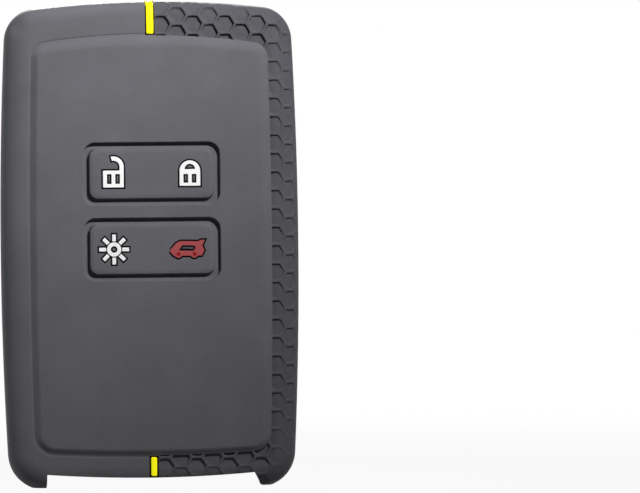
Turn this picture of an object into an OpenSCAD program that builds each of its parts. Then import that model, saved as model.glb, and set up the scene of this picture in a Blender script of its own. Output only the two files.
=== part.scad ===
// Soft cover for a card-shaped car key: a moulded sleeve that the card slides into from below,
// a honeycomb grip over one half, bright inlaid stripes and two rocking button pads.
// Front faces -Y, the card's long way is Z, and the leg soles stand on Z = 0.

/* [Body] */
// Width at the belly of the bowed sides
cover_w = 64; // [61:0.5:70]
// Height from the leg soles to the crown
cover_h = 104; // [98:0.5:112]
// Thickness from the button panel's face to the rear stripe's face
cover_t = 13; // [12.4:0.1:15]
// Radius of the bowed sides, seen from the front
side_bow_r = 880; // [500:10:1500]
// Radius of the crowned top edge, seen from the front
crown_r = 165; // [120:1:300]
// Radius of the four corners, seen from the front
corner_r = 7; // [6.2:0.1:9]
// Rounding along the front edge
front_round = 5; // [4:0.1:5.4]
// Rounding along the back edge
back_round = 5.5; // [4:0.1:5.8]
// Depth that the rounded foot is cut off to make the flat soles
sole_trim = 0.8; // [0.5:0.1:1.5]
// Spacing of the fine grid that the surfaces' points lie on
grain = 0.05; // [0.01:0.01:0.05]

/* [Pocket] */
// Front wall between the card and the frame's face
front_wall = 1.8; // [1.5:0.1:2.4]
// Back wall behind the card
back_wall = 1.8; // [1.5:0.1:2.4]
// Wall beside, above and below the card
side_wall = 3; // [2.4:0.1:3.6]
// Rounding along the pocket's edges
pocket_round = 2; // [1:0.1:2.6]

/* [Mouth] */
// Distance from the middle to the leg on the smooth side
smooth_leg_x = 22.9; // [18:0.1:23.4]
// Distance from the middle to the leg on the grip side, at the top of its front edge
grip_leg_x = 21.8; // [18:0.1:23.4]
// How far the grip side's leg slants outward at its sole
grip_leg_slant = 1; // [0:0.1:1.5]
// How much farther out that leg's back edge lies
grip_leg_turn = 1; // [0:0.1:1.5]
// Height of the front wall's lower edge at the legs
front_lip_z = 2.9; // [2.4:0.1:4]
// How far that edge bows down at the middle
front_lip_bow = 0.9; // [0:0.1:1.5]
// Height of the back wall's lower edge
back_lip_z = 5.3; // [4:0.1:8]
// How far the smooth side's leg stands in from the back
leg_setback = 3.6; // [2:0.1:5]

/* [Button panel] */
// Height of the raised panel over the frame
panel_rise = 0.8; // [0.5:0.1:1.2]
// Distance from the cover's side to the raised panel, at mid height
panel_side_margin = 6.8; // [6.5:0.1:10]
// Distance from the soles up to the raised panel, at the middle
panel_foot_margin = 7.3; // [6:0.1:12]
// Distance from the crown down to the raised panel, at the middle
panel_top_margin = 7.9; // [7.5:0.1:14]
// Radius of the panel's corners, seen from the front
panel_corner_r = 3.8; // [2:0.1:6]
// Radius of the bow in the panel's lower border
panel_foot_bow_r = 350; // [200:10:1000]
// Radius of the soft hollow round the panel's foot
panel_cove_r = 0.5; // [0.3:0.05:0.6]

/* [Back window] */
// Width of the six-sided window across its side corners
window_w = 12.8; // [10:0.1:16]
// Height of the window
window_h = 17.4; // [12:0.1:22]
// Length of the window's top and bottom edges
window_edge = 6.4; // [4:0.1:8]
// Height of the window's middle, as a share of the cover's height
window_share = 0.5; // [0.4:0.01:0.6]
// Radius of the window's corners
window_r = 1; // [0.5:0.1:1.5]
// Bevel round the window's outer rim
window_bevel = 0.6; // [0.2:0.1:0.8]
// Smooth lip between the window and the honeycomb
window_lip = 1.1; // [0.8:0.1:2]

/* [Honeycomb] */
// Thickness of the honeycomb skin
grip_t = 1; // [0.9:0.05:1.2]
// Spacing of the cells, flat to flat
cell_pitch = 4; // [3.6:0.05:5]
// Width of the ribs between the cells
rib_w = 0.5; // [0.3:0.05:0.8]
// Depth of the cells on the flat faces
cell_depth = 0.46; // [0.2:0.01:0.55]
// Height of a cell's middle over the window's middle, in the back's column beside the stripe
back_row_rise = 17; // [15:0.05:19]
// Drop of a cell's middle below the crown, in the front's column beside the stripe
front_row_drop = 5; // [4:0.05:8]
// Lower end of the skin on the front
grip_front_z = 3.5; // [3:0.1:5]
// Lower end of the skin on the back
grip_back_z = 6; // [5.4:0.1:8]

/* [Stripes] */
// Width of the bright stripes
stripe_w = 1.45; // [1:0.05:2]
// Gap between a stripe and each wall of its channel
stripe_gap = 0.3; // [0.1:0.05:0.5]
// Depth of the channel that a stripe lies in
channel_depth = 0.65; // [0.4:0.05:0.8]
// How far a stripe stands proud
stripe_rise = 0.15; // [0.05:0.05:0.3]
// Clear distance between a stripe's end and the rim or border that it stops at
stripe_end_gap = 0.4; // [0.2:0.1:1]

/* [Button pads] */
// Width of the opening round a pad
opening_w = 29.2; // [26:0.1:32]
// Height of the opening round a pad
opening_h = 13.2; // [11:0.1:14.5]
// Radius of the opening's corners
opening_r = 2.5; // [1.5:0.1:4]
// Groove between a pad and its opening
pad_gap = 1.15; // [0.8:0.05:1.5]
// Distance between the two pads' middles
pad_pitch = 16.15; // [15.2:0.05:18]
// Distance from the crown down to the point midway between the pads
pads_drop = 45; // [40:0.5:52]
// Thickness of a pad
pad_t = 1.8; // [1.6:0.1:2]
// Bevel round a pad's face
pad_bevel = 0.4; // [0.2:0.05:0.6]
// Thickness of the thin web that carries a pad
web_t = 0.5; // [0.3:0.05:0.7]
// Depth of the web's face below the panel's face
web_depth = 0.6; // [0.5:0.05:1.4]
// Clearance of the web inside the opening, and round the pad
web_clear = 0.15; // [0.1:0.01:0.2]
// Diameter of the studs that push the card's buttons
stud_d = 5; // [3:0.1:7]
// How far a stud's tip stays short of the card at rest
stud_clear = 0.2; // [0.1:0.05:0.3]

/* [Symbols] */
// Distance of each symbol from the pad's middle, as a share of the pad's width
symbol_share = 0.305; // [0.26:0.005:0.33]
// Width of the padlock symbols
lock_w = 4.46; // [3.5:0.1:5]
// Height of the open padlock's body
open_lock_h = 3.6; // [3:0.1:4]
// Height of the closed padlock's body
closed_lock_h = 3.2; // [2.8:0.1:3.6]
// How far both bodies sit below the pad's middle
lock_drop = 1.1; // [0.8:0.1:1.4]
// Straight part of the open padlock's shackle
lock_post = 0.8; // [0.4:0.1:1]
// Width of the padlock's shackle
shackle_w = 0.92; // [0.6:0.02:1]
// Outer radius of the light symbol's ring
lamp_r = 1.53; // [1.2:0.01:1.8]
// Radius of the hole in that ring
lamp_hole_r = 0.7; // [0.4:0.05:0.9]
// Reach of the light symbol's rays
ray_reach = 3.2; // [2.6:0.05:3.8]
// Width of the rays
ray_w = 0.8; // [0.5:0.05:0.9]
// Length of the car symbol
car_l = 7.5; // [6:0.1:8]
// Depth of the symbols' inlays
inlay_t = 0.5; // [0.3:0.05:0.8]
// Thickness of the ring that holds the light symbol's rays together, under the pad's face
backing_t = 0.3; // [0.2:0.05:0.5]
// Fine gap between an inlay and its pocket
inlay_gap = 0.35; // [0.05:0.01:0.35]

/* [Hidden] */

// Overrun of a cut past the face that it opens
over = 1;
// Steps in each quarter of the edge rounding, and in each corner, side and crown of the outline
edge_steps = 4;
corner_steps = 4;
side_steps = 4;
crown_steps = 2;
small_steps = 3;

// Planes of the frame's face, the panel's face, the back and the card's two faces
face_y = panel_rise - cover_t / 2;
panel_y = -cover_t / 2;
back_y = cover_t / 2 - stripe_rise;
card_front_y = face_y + front_wall;
card_back_y = back_y - back_wall;

// Heights that follow the cover's height
panel_z1 = cover_h - panel_top_margin;
window_z = cover_h * window_share;
pads_z = cover_h - pads_drop;
back_row_z = window_z + back_row_rise;
front_row_z = cover_h - front_row_drop;
panel_w = cover_w - 2 * panel_side_margin;

// The outline of the body as [width, bottom, top, side radius, crown radius, foot radius, corner]
body_shape = [
  cover_w, -sole_trim, cover_h, side_bow_r, crown_r, side_bow_r, corner_r
];
panel_shape = [
  panel_w, panel_foot_margin, panel_z1, side_bow_r, crown_r - (cover_h - panel_z1),
  panel_foot_bow_r, panel_corner_r
];

// Where two circles cross, on the left of the line between their middles for side = 1
function crossing(c1, r1, c2, r2, side) =
  let (
    gap = norm(c2 - c1),
    u = (c2 - c1) / gap,
    along = (gap * gap + r1 * r1 - r2 * r2) / (2 * gap),
    up = sqrt(r1 * r1 - along * along)
  )
  c1 + along * u + side * up * [-u.y, u.x];

function angle_of(v) = atan2(v.y, v.x);

function arc(c, r, a0, a1, steps) =
  [for (i = [0:steps - 1]) c + r * [cos(a0 + (a1 - a0) * i / steps), sin(a0 + (a1 - a0) * i / steps)]];

// Middles of a shape's arcs: side, crown, foot, upper corner and lower corner
function side_c(s) = [s[0] / 2 - s[3], (s[1] + s[2]) / 2];
function crown_c(s) = [0, s[2] - s[4]];
function foot_c(s) = [0, s[1] + s[5]];
function high_c(s) = crossing(side_c(s), s[3] - s[6], crown_c(s), s[4] - s[6], 1);
function low_c(s) = crossing(side_c(s), s[3] - s[6], foot_c(s), s[5] - s[6], -1);

// Right half of an outline, drawn in by inset, from the foot's middle up to the crown
function right_half(s, inset) =
  let (
    low = low_c(s),
    high = high_c(s),
    low_a = angle_of(low - foot_c(s)),
    side_lo = angle_of(low - side_c(s)),
    side_hi = angle_of(high - side_c(s)),
    high_a = angle_of(high - crown_c(s))
  )
  concat(
    arc(foot_c(s), s[5] - inset, -90, low_a, 1),
    arc(low, s[6] - inset, low_a, side_lo, corner_steps),
    arc(side_c(s), s[3] - inset, side_lo, side_hi, side_steps),
    arc(high, s[6] - inset, side_hi, high_a, corner_steps),
    arc(crown_c(s), s[4] - inset, high_a, 90, crown_steps)
  );

function outline(s, inset) =
  let (right = right_half(s, inset), n = len(right))
  concat(
    right,
    [[0, s[2] - inset]],
    [for (i = [n - 1:-1:1]) [-right[i].x, right[i].y]]
  );

// A convex outline with rounded corners, drawn in by inset
function rounded(corners, r, inset) =
  let (n = len(corners))
  [
    for (i = [0:n - 1])
      let (
        here = corners[i],
        into = here - corners[(i + n - 1) % n],
        away = corners[(i + 1) % n] - here,
        a0 = angle_of(into) - 90,
        turn = (angle_of(away) - angle_of(into) + 360) % 360,
        mid = a0 + turn / 2,
        c = here - r / cos(turn / 2) * [cos(mid), sin(mid)]
      )
      for (k = [0:small_steps])
        c + (r - inset) * [cos(a0 + turn * k / small_steps), sin(a0 + turn * k / small_steps)]
  ];

function rectangle(w, h) = [[-w / 2, -h / 2], [w / 2, -h / 2], [w / 2, h / 2], [-w / 2, h / 2]];

// Skin over rings of points, all with as many points, from the front ring to the back ring
module skin(rings) {
  n = len(rings[0]);
  last = len(rings) - 1;
  points = [for (ring = rings) for (p = ring) gridded(p)];
  walls = [
    for (k = [0:last - 1]) for (i = [0:n - 1])
      let (j = (i + 1) % n)
      for (f = [[k * n + i, k * n + j, k * n + n + j], [k * n + i, k * n + n + j, k * n + n + i]]) f
  ];
  ends = [
    for (i = [1:n - 2])
      for (f = [[0, i + 1, i], [last * n, last * n + i, last * n + i + 1]]) f
  ];
  polyhedron(points = points, faces = concat(walls, ends));
}

function at_y(flat, y) = [for (p = flat) [p.x, y, p.y]];

// A point moved to the nearest one of a fine grid, so that every use of it is exactly the same
function gridded(p) = [for (c = p) grain * round(c / grain)];

// Rings of an edge-rounded form: [inset, y] from its front face round the side to its back face
function edge_rings(base, y0, y1, r0, r1, steps) = concat(
  [for (i = [0:steps]) [base + r0 * (1 - sin(90 * i / steps)), y0 + r0 * (1 - cos(90 * i / steps))]],
  [for (i = [steps:-1:0]) [base + r1 * (1 - sin(90 * i / steps)), y1 - r1 * (1 - cos(90 * i / steps))]]
);

// The body's rounded form, or one that lies a constant depth under its surface
module body_form(depth) {
  rings = edge_rings(
    depth, face_y + depth, back_y - depth, front_round - depth, back_round - depth, edge_steps
  );
  skin([for (r = rings) at_y(outline(body_shape, r[0]), r[1])]);
}

module pocket_form() {
  rings = edge_rings(side_wall, card_front_y, card_back_y, pocket_round, pocket_round, small_steps);
  skin([for (r = rings) at_y(outline(body_shape, r[0]), r[1])]);
}

// The raised panel, with a hollow round its foot and a rounded crest
module panel_form() {
  crest = panel_rise - panel_cove_r;
  foot = [[-panel_cove_r, face_y + front_wall / 2]];
  hollow = [
    for (i = [0:small_steps])
      let (a = 90 * i / small_steps)
      [panel_cove_r * (sin(a) - 1), face_y - panel_cove_r * (1 - cos(a))]
  ];
  top = [
    for (i = [1:small_steps])
      let (a = 90 * i / small_steps)
      [crest * (1 - cos(a)), face_y - panel_cove_r - crest * sin(a)]
  ];
  rings = concat(foot, hollow, top);
  skin([for (i = [len(rings) - 1:-1:0]) at_y(outline(panel_shape, rings[i][0]), rings[i][1])]);
}

// A plate with a rounded outline that stands across Y
module plug(corners, r, steps) {
  skin([for (s = steps) at_y(rounded(corners, r, s[0]), s[1])]);
}

module at(x, z) {
  translate([x, 0, z])
    children();
}

// Back window

window_corners = [
  [-window_edge / 2, -window_h / 2], [window_edge / 2, -window_h / 2], [window_w / 2, 0],
  [window_edge / 2, window_h / 2], [-window_edge / 2, window_h / 2], [-window_w / 2, 0]
];

module window_cut() {
  at(0, window_z)
    plug(window_corners, window_r, [
      [0, 0], [0, back_y - window_bevel], [-window_bevel, back_y], [-window_bevel, back_y + over]
    ]);
}

module window_land() {
  at(0, window_z)
    plug(window_corners, window_r, [
      [-window_bevel - window_lip, 0], [-window_bevel - window_lip, back_y + over]
    ]);
}

// Honeycomb grip

channel_half = stripe_w / 2 + stripe_gap;
cell_side = cell_pitch / sqrt(3);
cell_step = cell_side * 1.5;
cell_r = (cell_pitch - rib_w) / sqrt(3);
// Height of a cell's cutter over its floor
cutter_rise = cell_side / 2;
// Cells whose relief has faded to less than this share are left out
least_fade_share = 0.55;

body_side = side_c(body_shape);
body_crown = crown_c(body_shape);
body_high = high_c(body_shape);
body_side_a = angle_of(body_high - body_side);
body_crown_a = angle_of(body_high - body_crown);

function reach(v, r) = [norm(v) - r, v / norm(v)];

// How far a point of the flat pattern lies past the flat face, and which way it folds over
function fold_of(p, round) =
  let (v = p - body_high, a = angle_of(v))
  a > body_side_a && a < body_crown_a ? reach(v, corner_r - round)
  : let (
      s = reach(p - body_side, side_bow_r - round),
      c = reach(p - body_crown, crown_r - round)
    )
    s[0] > c[0] ? s : c;

// A point of the flat pattern folded over the rounded edge, a given height over the surface
function folded(p, height, round, plane, way) =
  let (
    f = fold_of(p, round),
    past = max(0, f[0]),
    a = min(90, past / round * 180 / PI),
    foot = p - past * f[1],
    out = (round + height) * sin(a)
  )
  [foot.x + out * f[1].x, plane + way * (round - (round + height) * cos(a)), foot.y + out * f[1].y];

// The relief fades from full on the flat to nothing where the surface turns away
function fade(p, round) = 1 - max(0, fold_of(p, round)[0]) / (round * PI / 2);

// The six corners of a cell, in the order that makes its cutter face outward on this side
function hexagon(p, r, way) = [for (i = [0:5]) p + r * [cos(60 * i), way * sin(60 * i)]];

// A cutter for one cell. Its walls stand straight out from the cell's middle, so they are planar,
// and where the surface folds its floor is domed along it
module cell(p, round, plane, way) {
  depth = cell_depth * fade(p, round);
  out = folded(p, 1, round, plane, way) - folded(p, 0, round, plane, way);
  floor = [for (q = hexagon(p, cell_r, way)) gridded(folded(q, -depth, round, plane, way))];
  top = [for (q = floor) gridded(q + cutter_rise * out)];
  if (fold_of(p, round)[0] < -cell_side)
    hull()
      skin([top, floor]);
  else {
    middle = gridded(folded(p, -depth, round, plane, way));
    polyhedron(
      points = concat(top, floor, [gridded(middle + cutter_rise * out), middle]),
      faces = [
        for (i = [0:5])
          let (j = (i + 1) % 6)
          for (f = [[12, j, i], [i, j, 6 + j], [i, 6 + j, 6 + i], [6 + i, 6 + j, 13]]) f
      ]
    );
  }
}

// Cells over one face: columns step outward from the stripe, and every other one is half a cell up
module cells(row_z, low, round, plane, way) {
  for (col = [0:ceil(cover_w / 2 / cell_step)]) {
    x = cell_side + cell_step * col;
    first = row_z + cell_pitch * (col % 2) / 2;
    for (row = [-ceil(cover_h / cell_pitch):ceil(cover_h / cell_pitch)]) {
      p = [x, first + cell_pitch * row];
      if (p.y > low && fade(p, round) > least_fade_share)
        if (way < 0 || norm([max(0, abs(p.x) - panel_w / 2), max(0, p.y - panel_z1, panel_foot_margin - p.y)]) > 0)
          cell(p, round, plane, way);
    }
  }
}

// The space that the honeycomb skin takes up, before it is trimmed to the body's surface
module grip_zone() {
  difference() {
    translate([channel_half, 0, 0])
      rotate([90, 0, 90])
        linear_extrude(cover_w)
          polygon([
            [-cover_t, grip_front_z], [face_y, grip_front_z], [back_y, grip_back_z],
            [cover_t, grip_back_z], [cover_t, cover_h + over], [-cover_t, cover_h + over]
          ]);
    skin([for (y = [-cover_t, 0]) at_y(outline(panel_shape, -panel_cove_r), y)]);
    window_land();
  }
}

module honeycomb_grip() {
  color("#4d4c51")
    difference() {
      body_form(0);
      body_form(grip_t);
      difference() {
        translate([-cover_w, -cover_t, -cover_t])
          cube([2 * cover_w, 2 * cover_t, cover_h + 2 * cover_t]);
        grip_zone();
      }
      cells(back_row_z, grip_back_z + cell_side, back_round, back_y, -1);
      cells(front_row_z, grip_front_z, front_round, face_y, 1);
    }
}

// Stripes

// The body's section at the middle, from the front up over the crown and down the back
function crest_path(offset, front_z, back_z) = concat(
  [[face_y - offset, front_z]],
  [
    for (i = [0:2 * edge_steps])
      let (a = 180 - 90 * i / (2 * edge_steps), r = front_round + offset)
      [face_y + front_round + r * cos(a), cover_h - front_round + r * sin(a)]
  ],
  [
    for (i = [0:2 * edge_steps])
      let (a = 90 - 90 * i / (2 * edge_steps), r = back_round + offset)
      [back_y - back_round + r * cos(a), cover_h - back_round + r * sin(a)]
  ],
  [[back_y + offset, back_z]]
);

// A band along that section, between two offsets from the surface
module crest_band(width, outer, inner, front_z, back_z) {
  out = crest_path(outer, front_z, back_z);
  in = crest_path(inner, front_z, back_z);
  translate([-width / 2, 0, 0])
    rotate([90, 0, 90])
      linear_extrude(width)
        polygon(concat(out, [for (i = [len(in) - 1:-1:0]) in[i]]));
}

// A straight bar of the stripe's section, from y0 to y1
module stripe_bar(width, y0, y1, z0, z1) {
  translate([-width / 2, y0, z0])
    cube([width, y1 - y0, z1 - z0]);
}

crest_front_z = panel_z1 + panel_cove_r + stripe_end_gap;
window_top_z = window_z + window_h / 2 + window_bevel + stripe_end_gap;
window_low_z = window_z - window_h / 2 - window_bevel - stripe_end_gap;
rear_low_z = back_lip_z + stripe_end_gap;
front_top_z = panel_foot_margin - panel_cove_r - stripe_end_gap;
front_low_z = front_lip_z - front_lip_bow + stripe_end_gap;

module crest_stripe() {
  color("#fbf01c")
    crest_band(stripe_w, stripe_rise, -channel_depth, crest_front_z, window_top_z);
}

module rear_stripe() {
  color("#fbf01c")
    stripe_bar(stripe_w, back_y - channel_depth, back_y + stripe_rise, rear_low_z, window_low_z);
}

module front_stripe() {
  color("#fbf01c")
    stripe_bar(stripe_w, face_y - stripe_rise, face_y + channel_depth, front_low_z, front_top_z);
}

module stripe_channels() {
  width = stripe_w + 2 * stripe_gap;
  crest_band(width, over, -channel_depth, crest_front_z - stripe_gap, window_top_z - stripe_gap);
  stripe_bar(
    width, back_y - channel_depth, back_y + over, rear_low_z - stripe_gap, window_low_z + stripe_gap
  );
  stripe_bar(
    width, face_y - over, face_y + channel_depth, front_low_z - stripe_gap, front_top_z + stripe_gap
  );
}

// Sleeve

module mouth_cuts() {
  lip_mid = front_lip_z - front_lip_bow;
  sole_x = grip_leg_x + grip_leg_slant;
  // Between the legs, up to the front wall's bowed lower edge
  translate([0, card_front_y + over / 2, 0])
    rotate([90, 0, 0])
      linear_extrude(cover_t)
        polygon(concat(
          [[-smooth_leg_x, -cover_t], [sole_x, -cover_t], [sole_x, 0], [grip_leg_x, front_lip_z]],
          [
            for (i = [1:2 * side_steps - 1])
              let (share = 1 - i / side_steps)
              [grip_leg_x * share, lip_mid + front_lip_bow * share * share]
          ],
          [[-smooth_leg_x, front_lip_z]]
        ));
  // Behind the front wall, up to the back wall's straight lower edge
  skin([
    for (r = [
      [0, card_front_y], [0, card_front_y + over], [grip_leg_turn, back_y],
      [grip_leg_turn, back_y + over]
    ])
      at_y([
        [-smooth_leg_x, -over], [sole_x + r[0], -over], [sole_x + r[0], 0],
        [grip_leg_x + r[0], front_lip_z], [grip_leg_x + r[0], back_lip_z],
        [-smooth_leg_x, back_lip_z]
      ], r[1])
  ]);
  // The smooth side's leg stands in from the back
  translate([-cover_w, back_y - leg_setback, -over])
    cube([cover_w, cover_t, back_lip_z + over]);
  // Flat soles
  translate([-cover_w, -cover_t, -cover_t])
    cube([2 * cover_w, 2 * cover_t, cover_t]);
}

pad_z = [pads_z + pad_pitch / 2, pads_z - pad_pitch / 2];

module pad_openings() {
  for (z = pad_z)
    at(0, z)
      plug(rectangle(opening_w, opening_h), opening_r, [[0, panel_y - over], [0, card_front_y + over]]);
}

module sleeve() {
  color("#5a595e")
    difference() {
      union() {
        difference() {
          body_form(0);
          difference() {
            grip_zone();
            body_form(grip_t);
          }
        }
        panel_form();
      }
      pocket_form();
      window_cut();
      mouth_cuts();
      stripe_channels();
      pad_openings();
    }
}

// Button pads, their webs and symbols

pad_w = opening_w - 2 * pad_gap;
pad_h = opening_h - 2 * pad_gap;
pad_r = opening_r - pad_gap;
symbol_x = pad_w * symbol_share;

module web(z) {
  y0 = panel_y + web_depth;
  color("#3c3b40")
    at(0, z)
      difference() {
        plug(rectangle(opening_w, opening_h), opening_r, [[web_clear, y0], [web_clear, y0 + web_t]]);
        plug(rectangle(opening_w, opening_h), opening_r, [
          [pad_gap - web_clear, y0 - over], [pad_gap - web_clear, y0 + web_t + over]
        ]);
      }
}

module upper_web() {
  web(pad_z[0]);
}

module lower_web() {
  web(pad_z[1]);
}

// A pad with a bevelled face and two studs, less the pockets that children draw
module pad(z) {
  at(0, z)
    difference() {
      union() {
        plug(rectangle(pad_w, pad_h), pad_r, [
          [pad_bevel, panel_y], [0, panel_y + pad_bevel], [0, panel_y + pad_t]
        ]);
        for (x = [-symbol_x, symbol_x])
          translate([x, panel_y + pad_t / 2, 0])
            rotate([-90, 0, 0])
              cylinder(d = stud_d, h = card_front_y - stud_clear - panel_y - pad_t / 2, $fn = 32);
      }
      symbol_slab(panel_y - over, over + inlay_t)
        offset(delta = inlay_gap)
          children();
    }
}

// A flat symbol made a slab that starts at y0
module symbol_slab(y0, t) {
  translate([0, y0 + t, 0])
    rotate([90, 0, 0])
      linear_extrude(t)
        children();
}

// Symbols, each drawn about its own middle

slot_x_share = 0.2;
slot_w_share = 0.22;
slot_w = lock_w * slot_w_share;
slot_share = 0.58;
shackle_r = lock_w / 2;
moon_r = shackle_r / 2;
moon_lift = moon_r / 3;

// A padlock's body with two upright slots
module lock_body(h) {
  difference() {
    translate([-lock_w / 2, -h / 2])
      square([lock_w, h]);
    for (x = lock_w * [-slot_x_share, slot_x_share])
      translate([x - slot_w / 2, -h * slot_share / 2])
        square([slot_w, h * slot_share]);
  }
}

// A padlock with its shackle swung open to the left
module open_lock() {
  translate([0, -lock_drop]) {
    lock_body(open_lock_h);
    translate([shackle_r - shackle_w, open_lock_h / 2])
      square([shackle_w, lock_post]);
    translate([0, open_lock_h / 2 + lock_post])
      intersection() {
        difference() {
          circle(r = shackle_r, $fn = 40);
          circle(r = shackle_r - shackle_w, $fn = 40);
        }
        polygon([[0, 0], [shackle_r, 0], [shackle_r, shackle_r], [-shackle_r / 4, shackle_r]]);
      }
  }
}

// A padlock with its arch closed over a half-moon window
module closed_lock() {
  translate([0, -lock_drop]) {
    lock_body(closed_lock_h);
    translate([0, closed_lock_h / 2])
      difference() {
        half_disc(shackle_r);
        translate([0, moon_lift])
          half_disc(moon_r);
      }
  }
}

module half_disc(r) {
  intersection() {
    circle(r = r, $fn = 40);
    translate([-r, 0])
      square([2 * r, r]);
  }
}

// A ring with eight rays round it, which is the sign for lights
module lamp() {
  ray_start = lamp_r + ray_w / 4;
  difference() {
    circle(r = lamp_r, $fn = 40);
    circle(r = lamp_hole_r, $fn = 32);
  }
  for (i = [0:7])
    rotate(45 * i)
      translate([ray_start, -ray_w / 2])
        square([ray_reach - ray_start, ray_w]);
}

// Outline of the car symbol, as shares of its length, nose to the left
car_shares = [
  [-0.49, -0.08], [-0.38, -0.2], [0.42, -0.2], [0.5, -0.05], [0.44, 0.09], [0.51, 0.25],
  [0.4, 0.25], [0.33, 0.21], [-0.19, 0.22], [-0.31, 0.16], [-0.48, -0.03]
];
cabin_shares = [[-0.24, -0.05], [0.18, -0.06], [0.24, 0.01], [0.22, 0.09], [-0.13, 0.1]];
wheel_x_shares = [-0.25, 0.21];
wheel_r_share = 0.12;
wheel_z_share = -0.14;

// A car in profile with its boot lid up
module boot() {
  difference() {
    union() {
      polygon(car_l * car_shares);
      for (share = wheel_x_shares)
        translate(car_l * [share, wheel_z_share])
          circle(r = car_l * wheel_r_share, $fn = 32);
    }
    polygon(car_l * cabin_shares);
  }
}

// The flat ring behind the light symbol's ring and rays, widened by a gap
module lamp_backing(gap) {
  at(-symbol_x, pad_z[1])
    translate([0, panel_y + inlay_t, 0])
      rotate([-90, 0, 0])
        linear_extrude(backing_t)
          difference() {
            circle(r = lamp_r + ray_w + gap, $fn = 32);
            circle(r = lamp_hole_r - gap, $fn = 32);
          }
}

module left_symbol() {
  translate([-symbol_x, 0])
    children();
}

module right_symbol() {
  translate([symbol_x, 0])
    children();
}

module upper_pad() {
  color("#5f5e63")
    pad(pad_z[0]) {
      union() {
        left_symbol()
          open_lock();
        right_symbol()
          closed_lock();
      }
    }
}

module lower_pad() {
  color("#5c5b60")
    difference() {
      pad(pad_z[1]) {
        union() {
          left_symbol()
            lamp();
          right_symbol()
            boot();
        }
      }
      lamp_backing(inlay_gap);
    }
}

module inlay(z) {
  at(0, z)
    symbol_slab(panel_y, inlay_t)
      children();
}

module open_lock_inlay() {
  color("white")
    inlay(pad_z[0])
      left_symbol()
        open_lock();
}

module closed_lock_inlay() {
  color("white")
    inlay(pad_z[0])
      right_symbol()
        closed_lock();
}

module lamp_inlay() {
  color("white")
    union() {
      inlay(pad_z[1])
        left_symbol()
          lamp();
      lamp_backing(0);
    }
}

module boot_inlay() {
  color("#c04848")
    inlay(pad_z[1])
      right_symbol()
        boot();
}

sleeve();
honeycomb_grip();
crest_stripe();
rear_stripe();
front_stripe();
upper_web();
lower_web();
upper_pad();
lower_pad();
open_lock_inlay();
closed_lock_inlay();
lamp_inlay();
boot_inlay();
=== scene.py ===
"""Looks of a soft cover for a card-shaped car key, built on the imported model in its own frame.

Sizes are in millimetres until a mesh is made. Front faces -Y, the card's long way is Z, and the
honeycomb grip lies on the +X half.
"""

import logging
import math
from dataclasses import dataclass
from enum import Enum
from typing import Sequence

import bmesh
import bpy
import numpy as np
from mathutils import Euler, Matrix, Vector

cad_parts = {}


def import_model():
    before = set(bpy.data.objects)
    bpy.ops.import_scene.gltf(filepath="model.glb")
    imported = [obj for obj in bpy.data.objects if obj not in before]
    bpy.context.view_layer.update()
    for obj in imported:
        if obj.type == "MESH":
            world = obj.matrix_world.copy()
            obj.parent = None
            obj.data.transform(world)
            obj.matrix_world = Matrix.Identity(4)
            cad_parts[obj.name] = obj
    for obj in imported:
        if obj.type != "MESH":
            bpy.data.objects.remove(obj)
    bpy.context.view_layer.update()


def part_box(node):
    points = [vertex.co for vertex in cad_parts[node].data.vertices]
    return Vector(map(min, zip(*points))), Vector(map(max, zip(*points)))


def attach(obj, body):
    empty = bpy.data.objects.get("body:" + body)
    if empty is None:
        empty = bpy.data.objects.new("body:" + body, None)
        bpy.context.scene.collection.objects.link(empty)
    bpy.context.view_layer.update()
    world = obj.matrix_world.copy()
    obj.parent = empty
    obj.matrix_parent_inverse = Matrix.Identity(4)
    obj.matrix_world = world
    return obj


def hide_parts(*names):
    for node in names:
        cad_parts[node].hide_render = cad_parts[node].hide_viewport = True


log = logging.getLogger("cover")

MM = 0.001
# The photograph's size in pixels, across and down
FRAME = (640, 493)
# Well outside the cover in every direction, in millimetres
CLEAR = 150.0


Numbers = Sequence[float] | np.ndarray


# Meshes


def placed(name: str, data: bpy.types.ID) -> bpy.types.Object:
    """Make an object of a mesh, a lamp or a camera in the scene.

    Args:
        name: Its name.
        data: The mesh, lamp or camera.

    Returns:
        The linked object.
    """
    made = bpy.data.objects.new(name, data)
    bpy.context.scene.collection.objects.link(made)
    return made


@dataclass
class Solid:
    """A closed surface as points in millimetres and faces that wind outward."""

    points: np.ndarray
    faces: list

    def object(self, name: str) -> bpy.types.Object:
        """Make a Blender object of the solid, in metres, at the origin.

        Args:
            name: Name of the object and its mesh.

        Returns:
            The linked object.
        """
        mesh = bpy.data.meshes.new(name)
        mesh.from_pydata((self.points * MM).tolist(), [], self.faces)
        mesh.validate()
        return placed(name, mesh)


def loft(rings: np.ndarray, hoop: bool = False) -> Solid:
    """Skin a stack of rings, each with as many points, and close its ends.

    Point (k, i) is point i of ring k, so the surface is a function of ring and place along it.

    Args:
        rings: Array of rings by points by 3, running from the front (-Y) to the back.
        hoop: Whether the last ring joins the first, and otherwise both get a cap.

    Returns:
        The closed solid.
    """
    count, around, _ = rings.shape
    k, i = np.meshgrid(np.arange(count if hoop else count - 1), np.arange(around), indexing="ij")
    j, n = (i + 1) % around, (k + 1) % count
    quads = np.stack([k * around + i, n * around + i, n * around + j, k * around + j], -1)
    faces = quads.reshape(-1, 4).tolist()
    if not hoop:
        faces.append(list(range(around)))
        faces.append(list(range((count - 1) * around, count * around))[::-1])
    return Solid(rings.reshape(-1, 3), faces)


def layered(flat: np.ndarray, ys: Numbers) -> np.ndarray:
    """Give flat rings their places along Y.

    Args:
        flat: Array of rings by points by 2.
        ys: Place along Y, by ring or by ring and point.

    Returns:
        Array of rings by points by 3.
    """
    depth = np.broadcast_to(np.reshape(ys, (len(ys), -1)), flat.shape[:2])
    return np.stack([flat[..., 0], depth, flat[..., 1]], -1)


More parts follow.
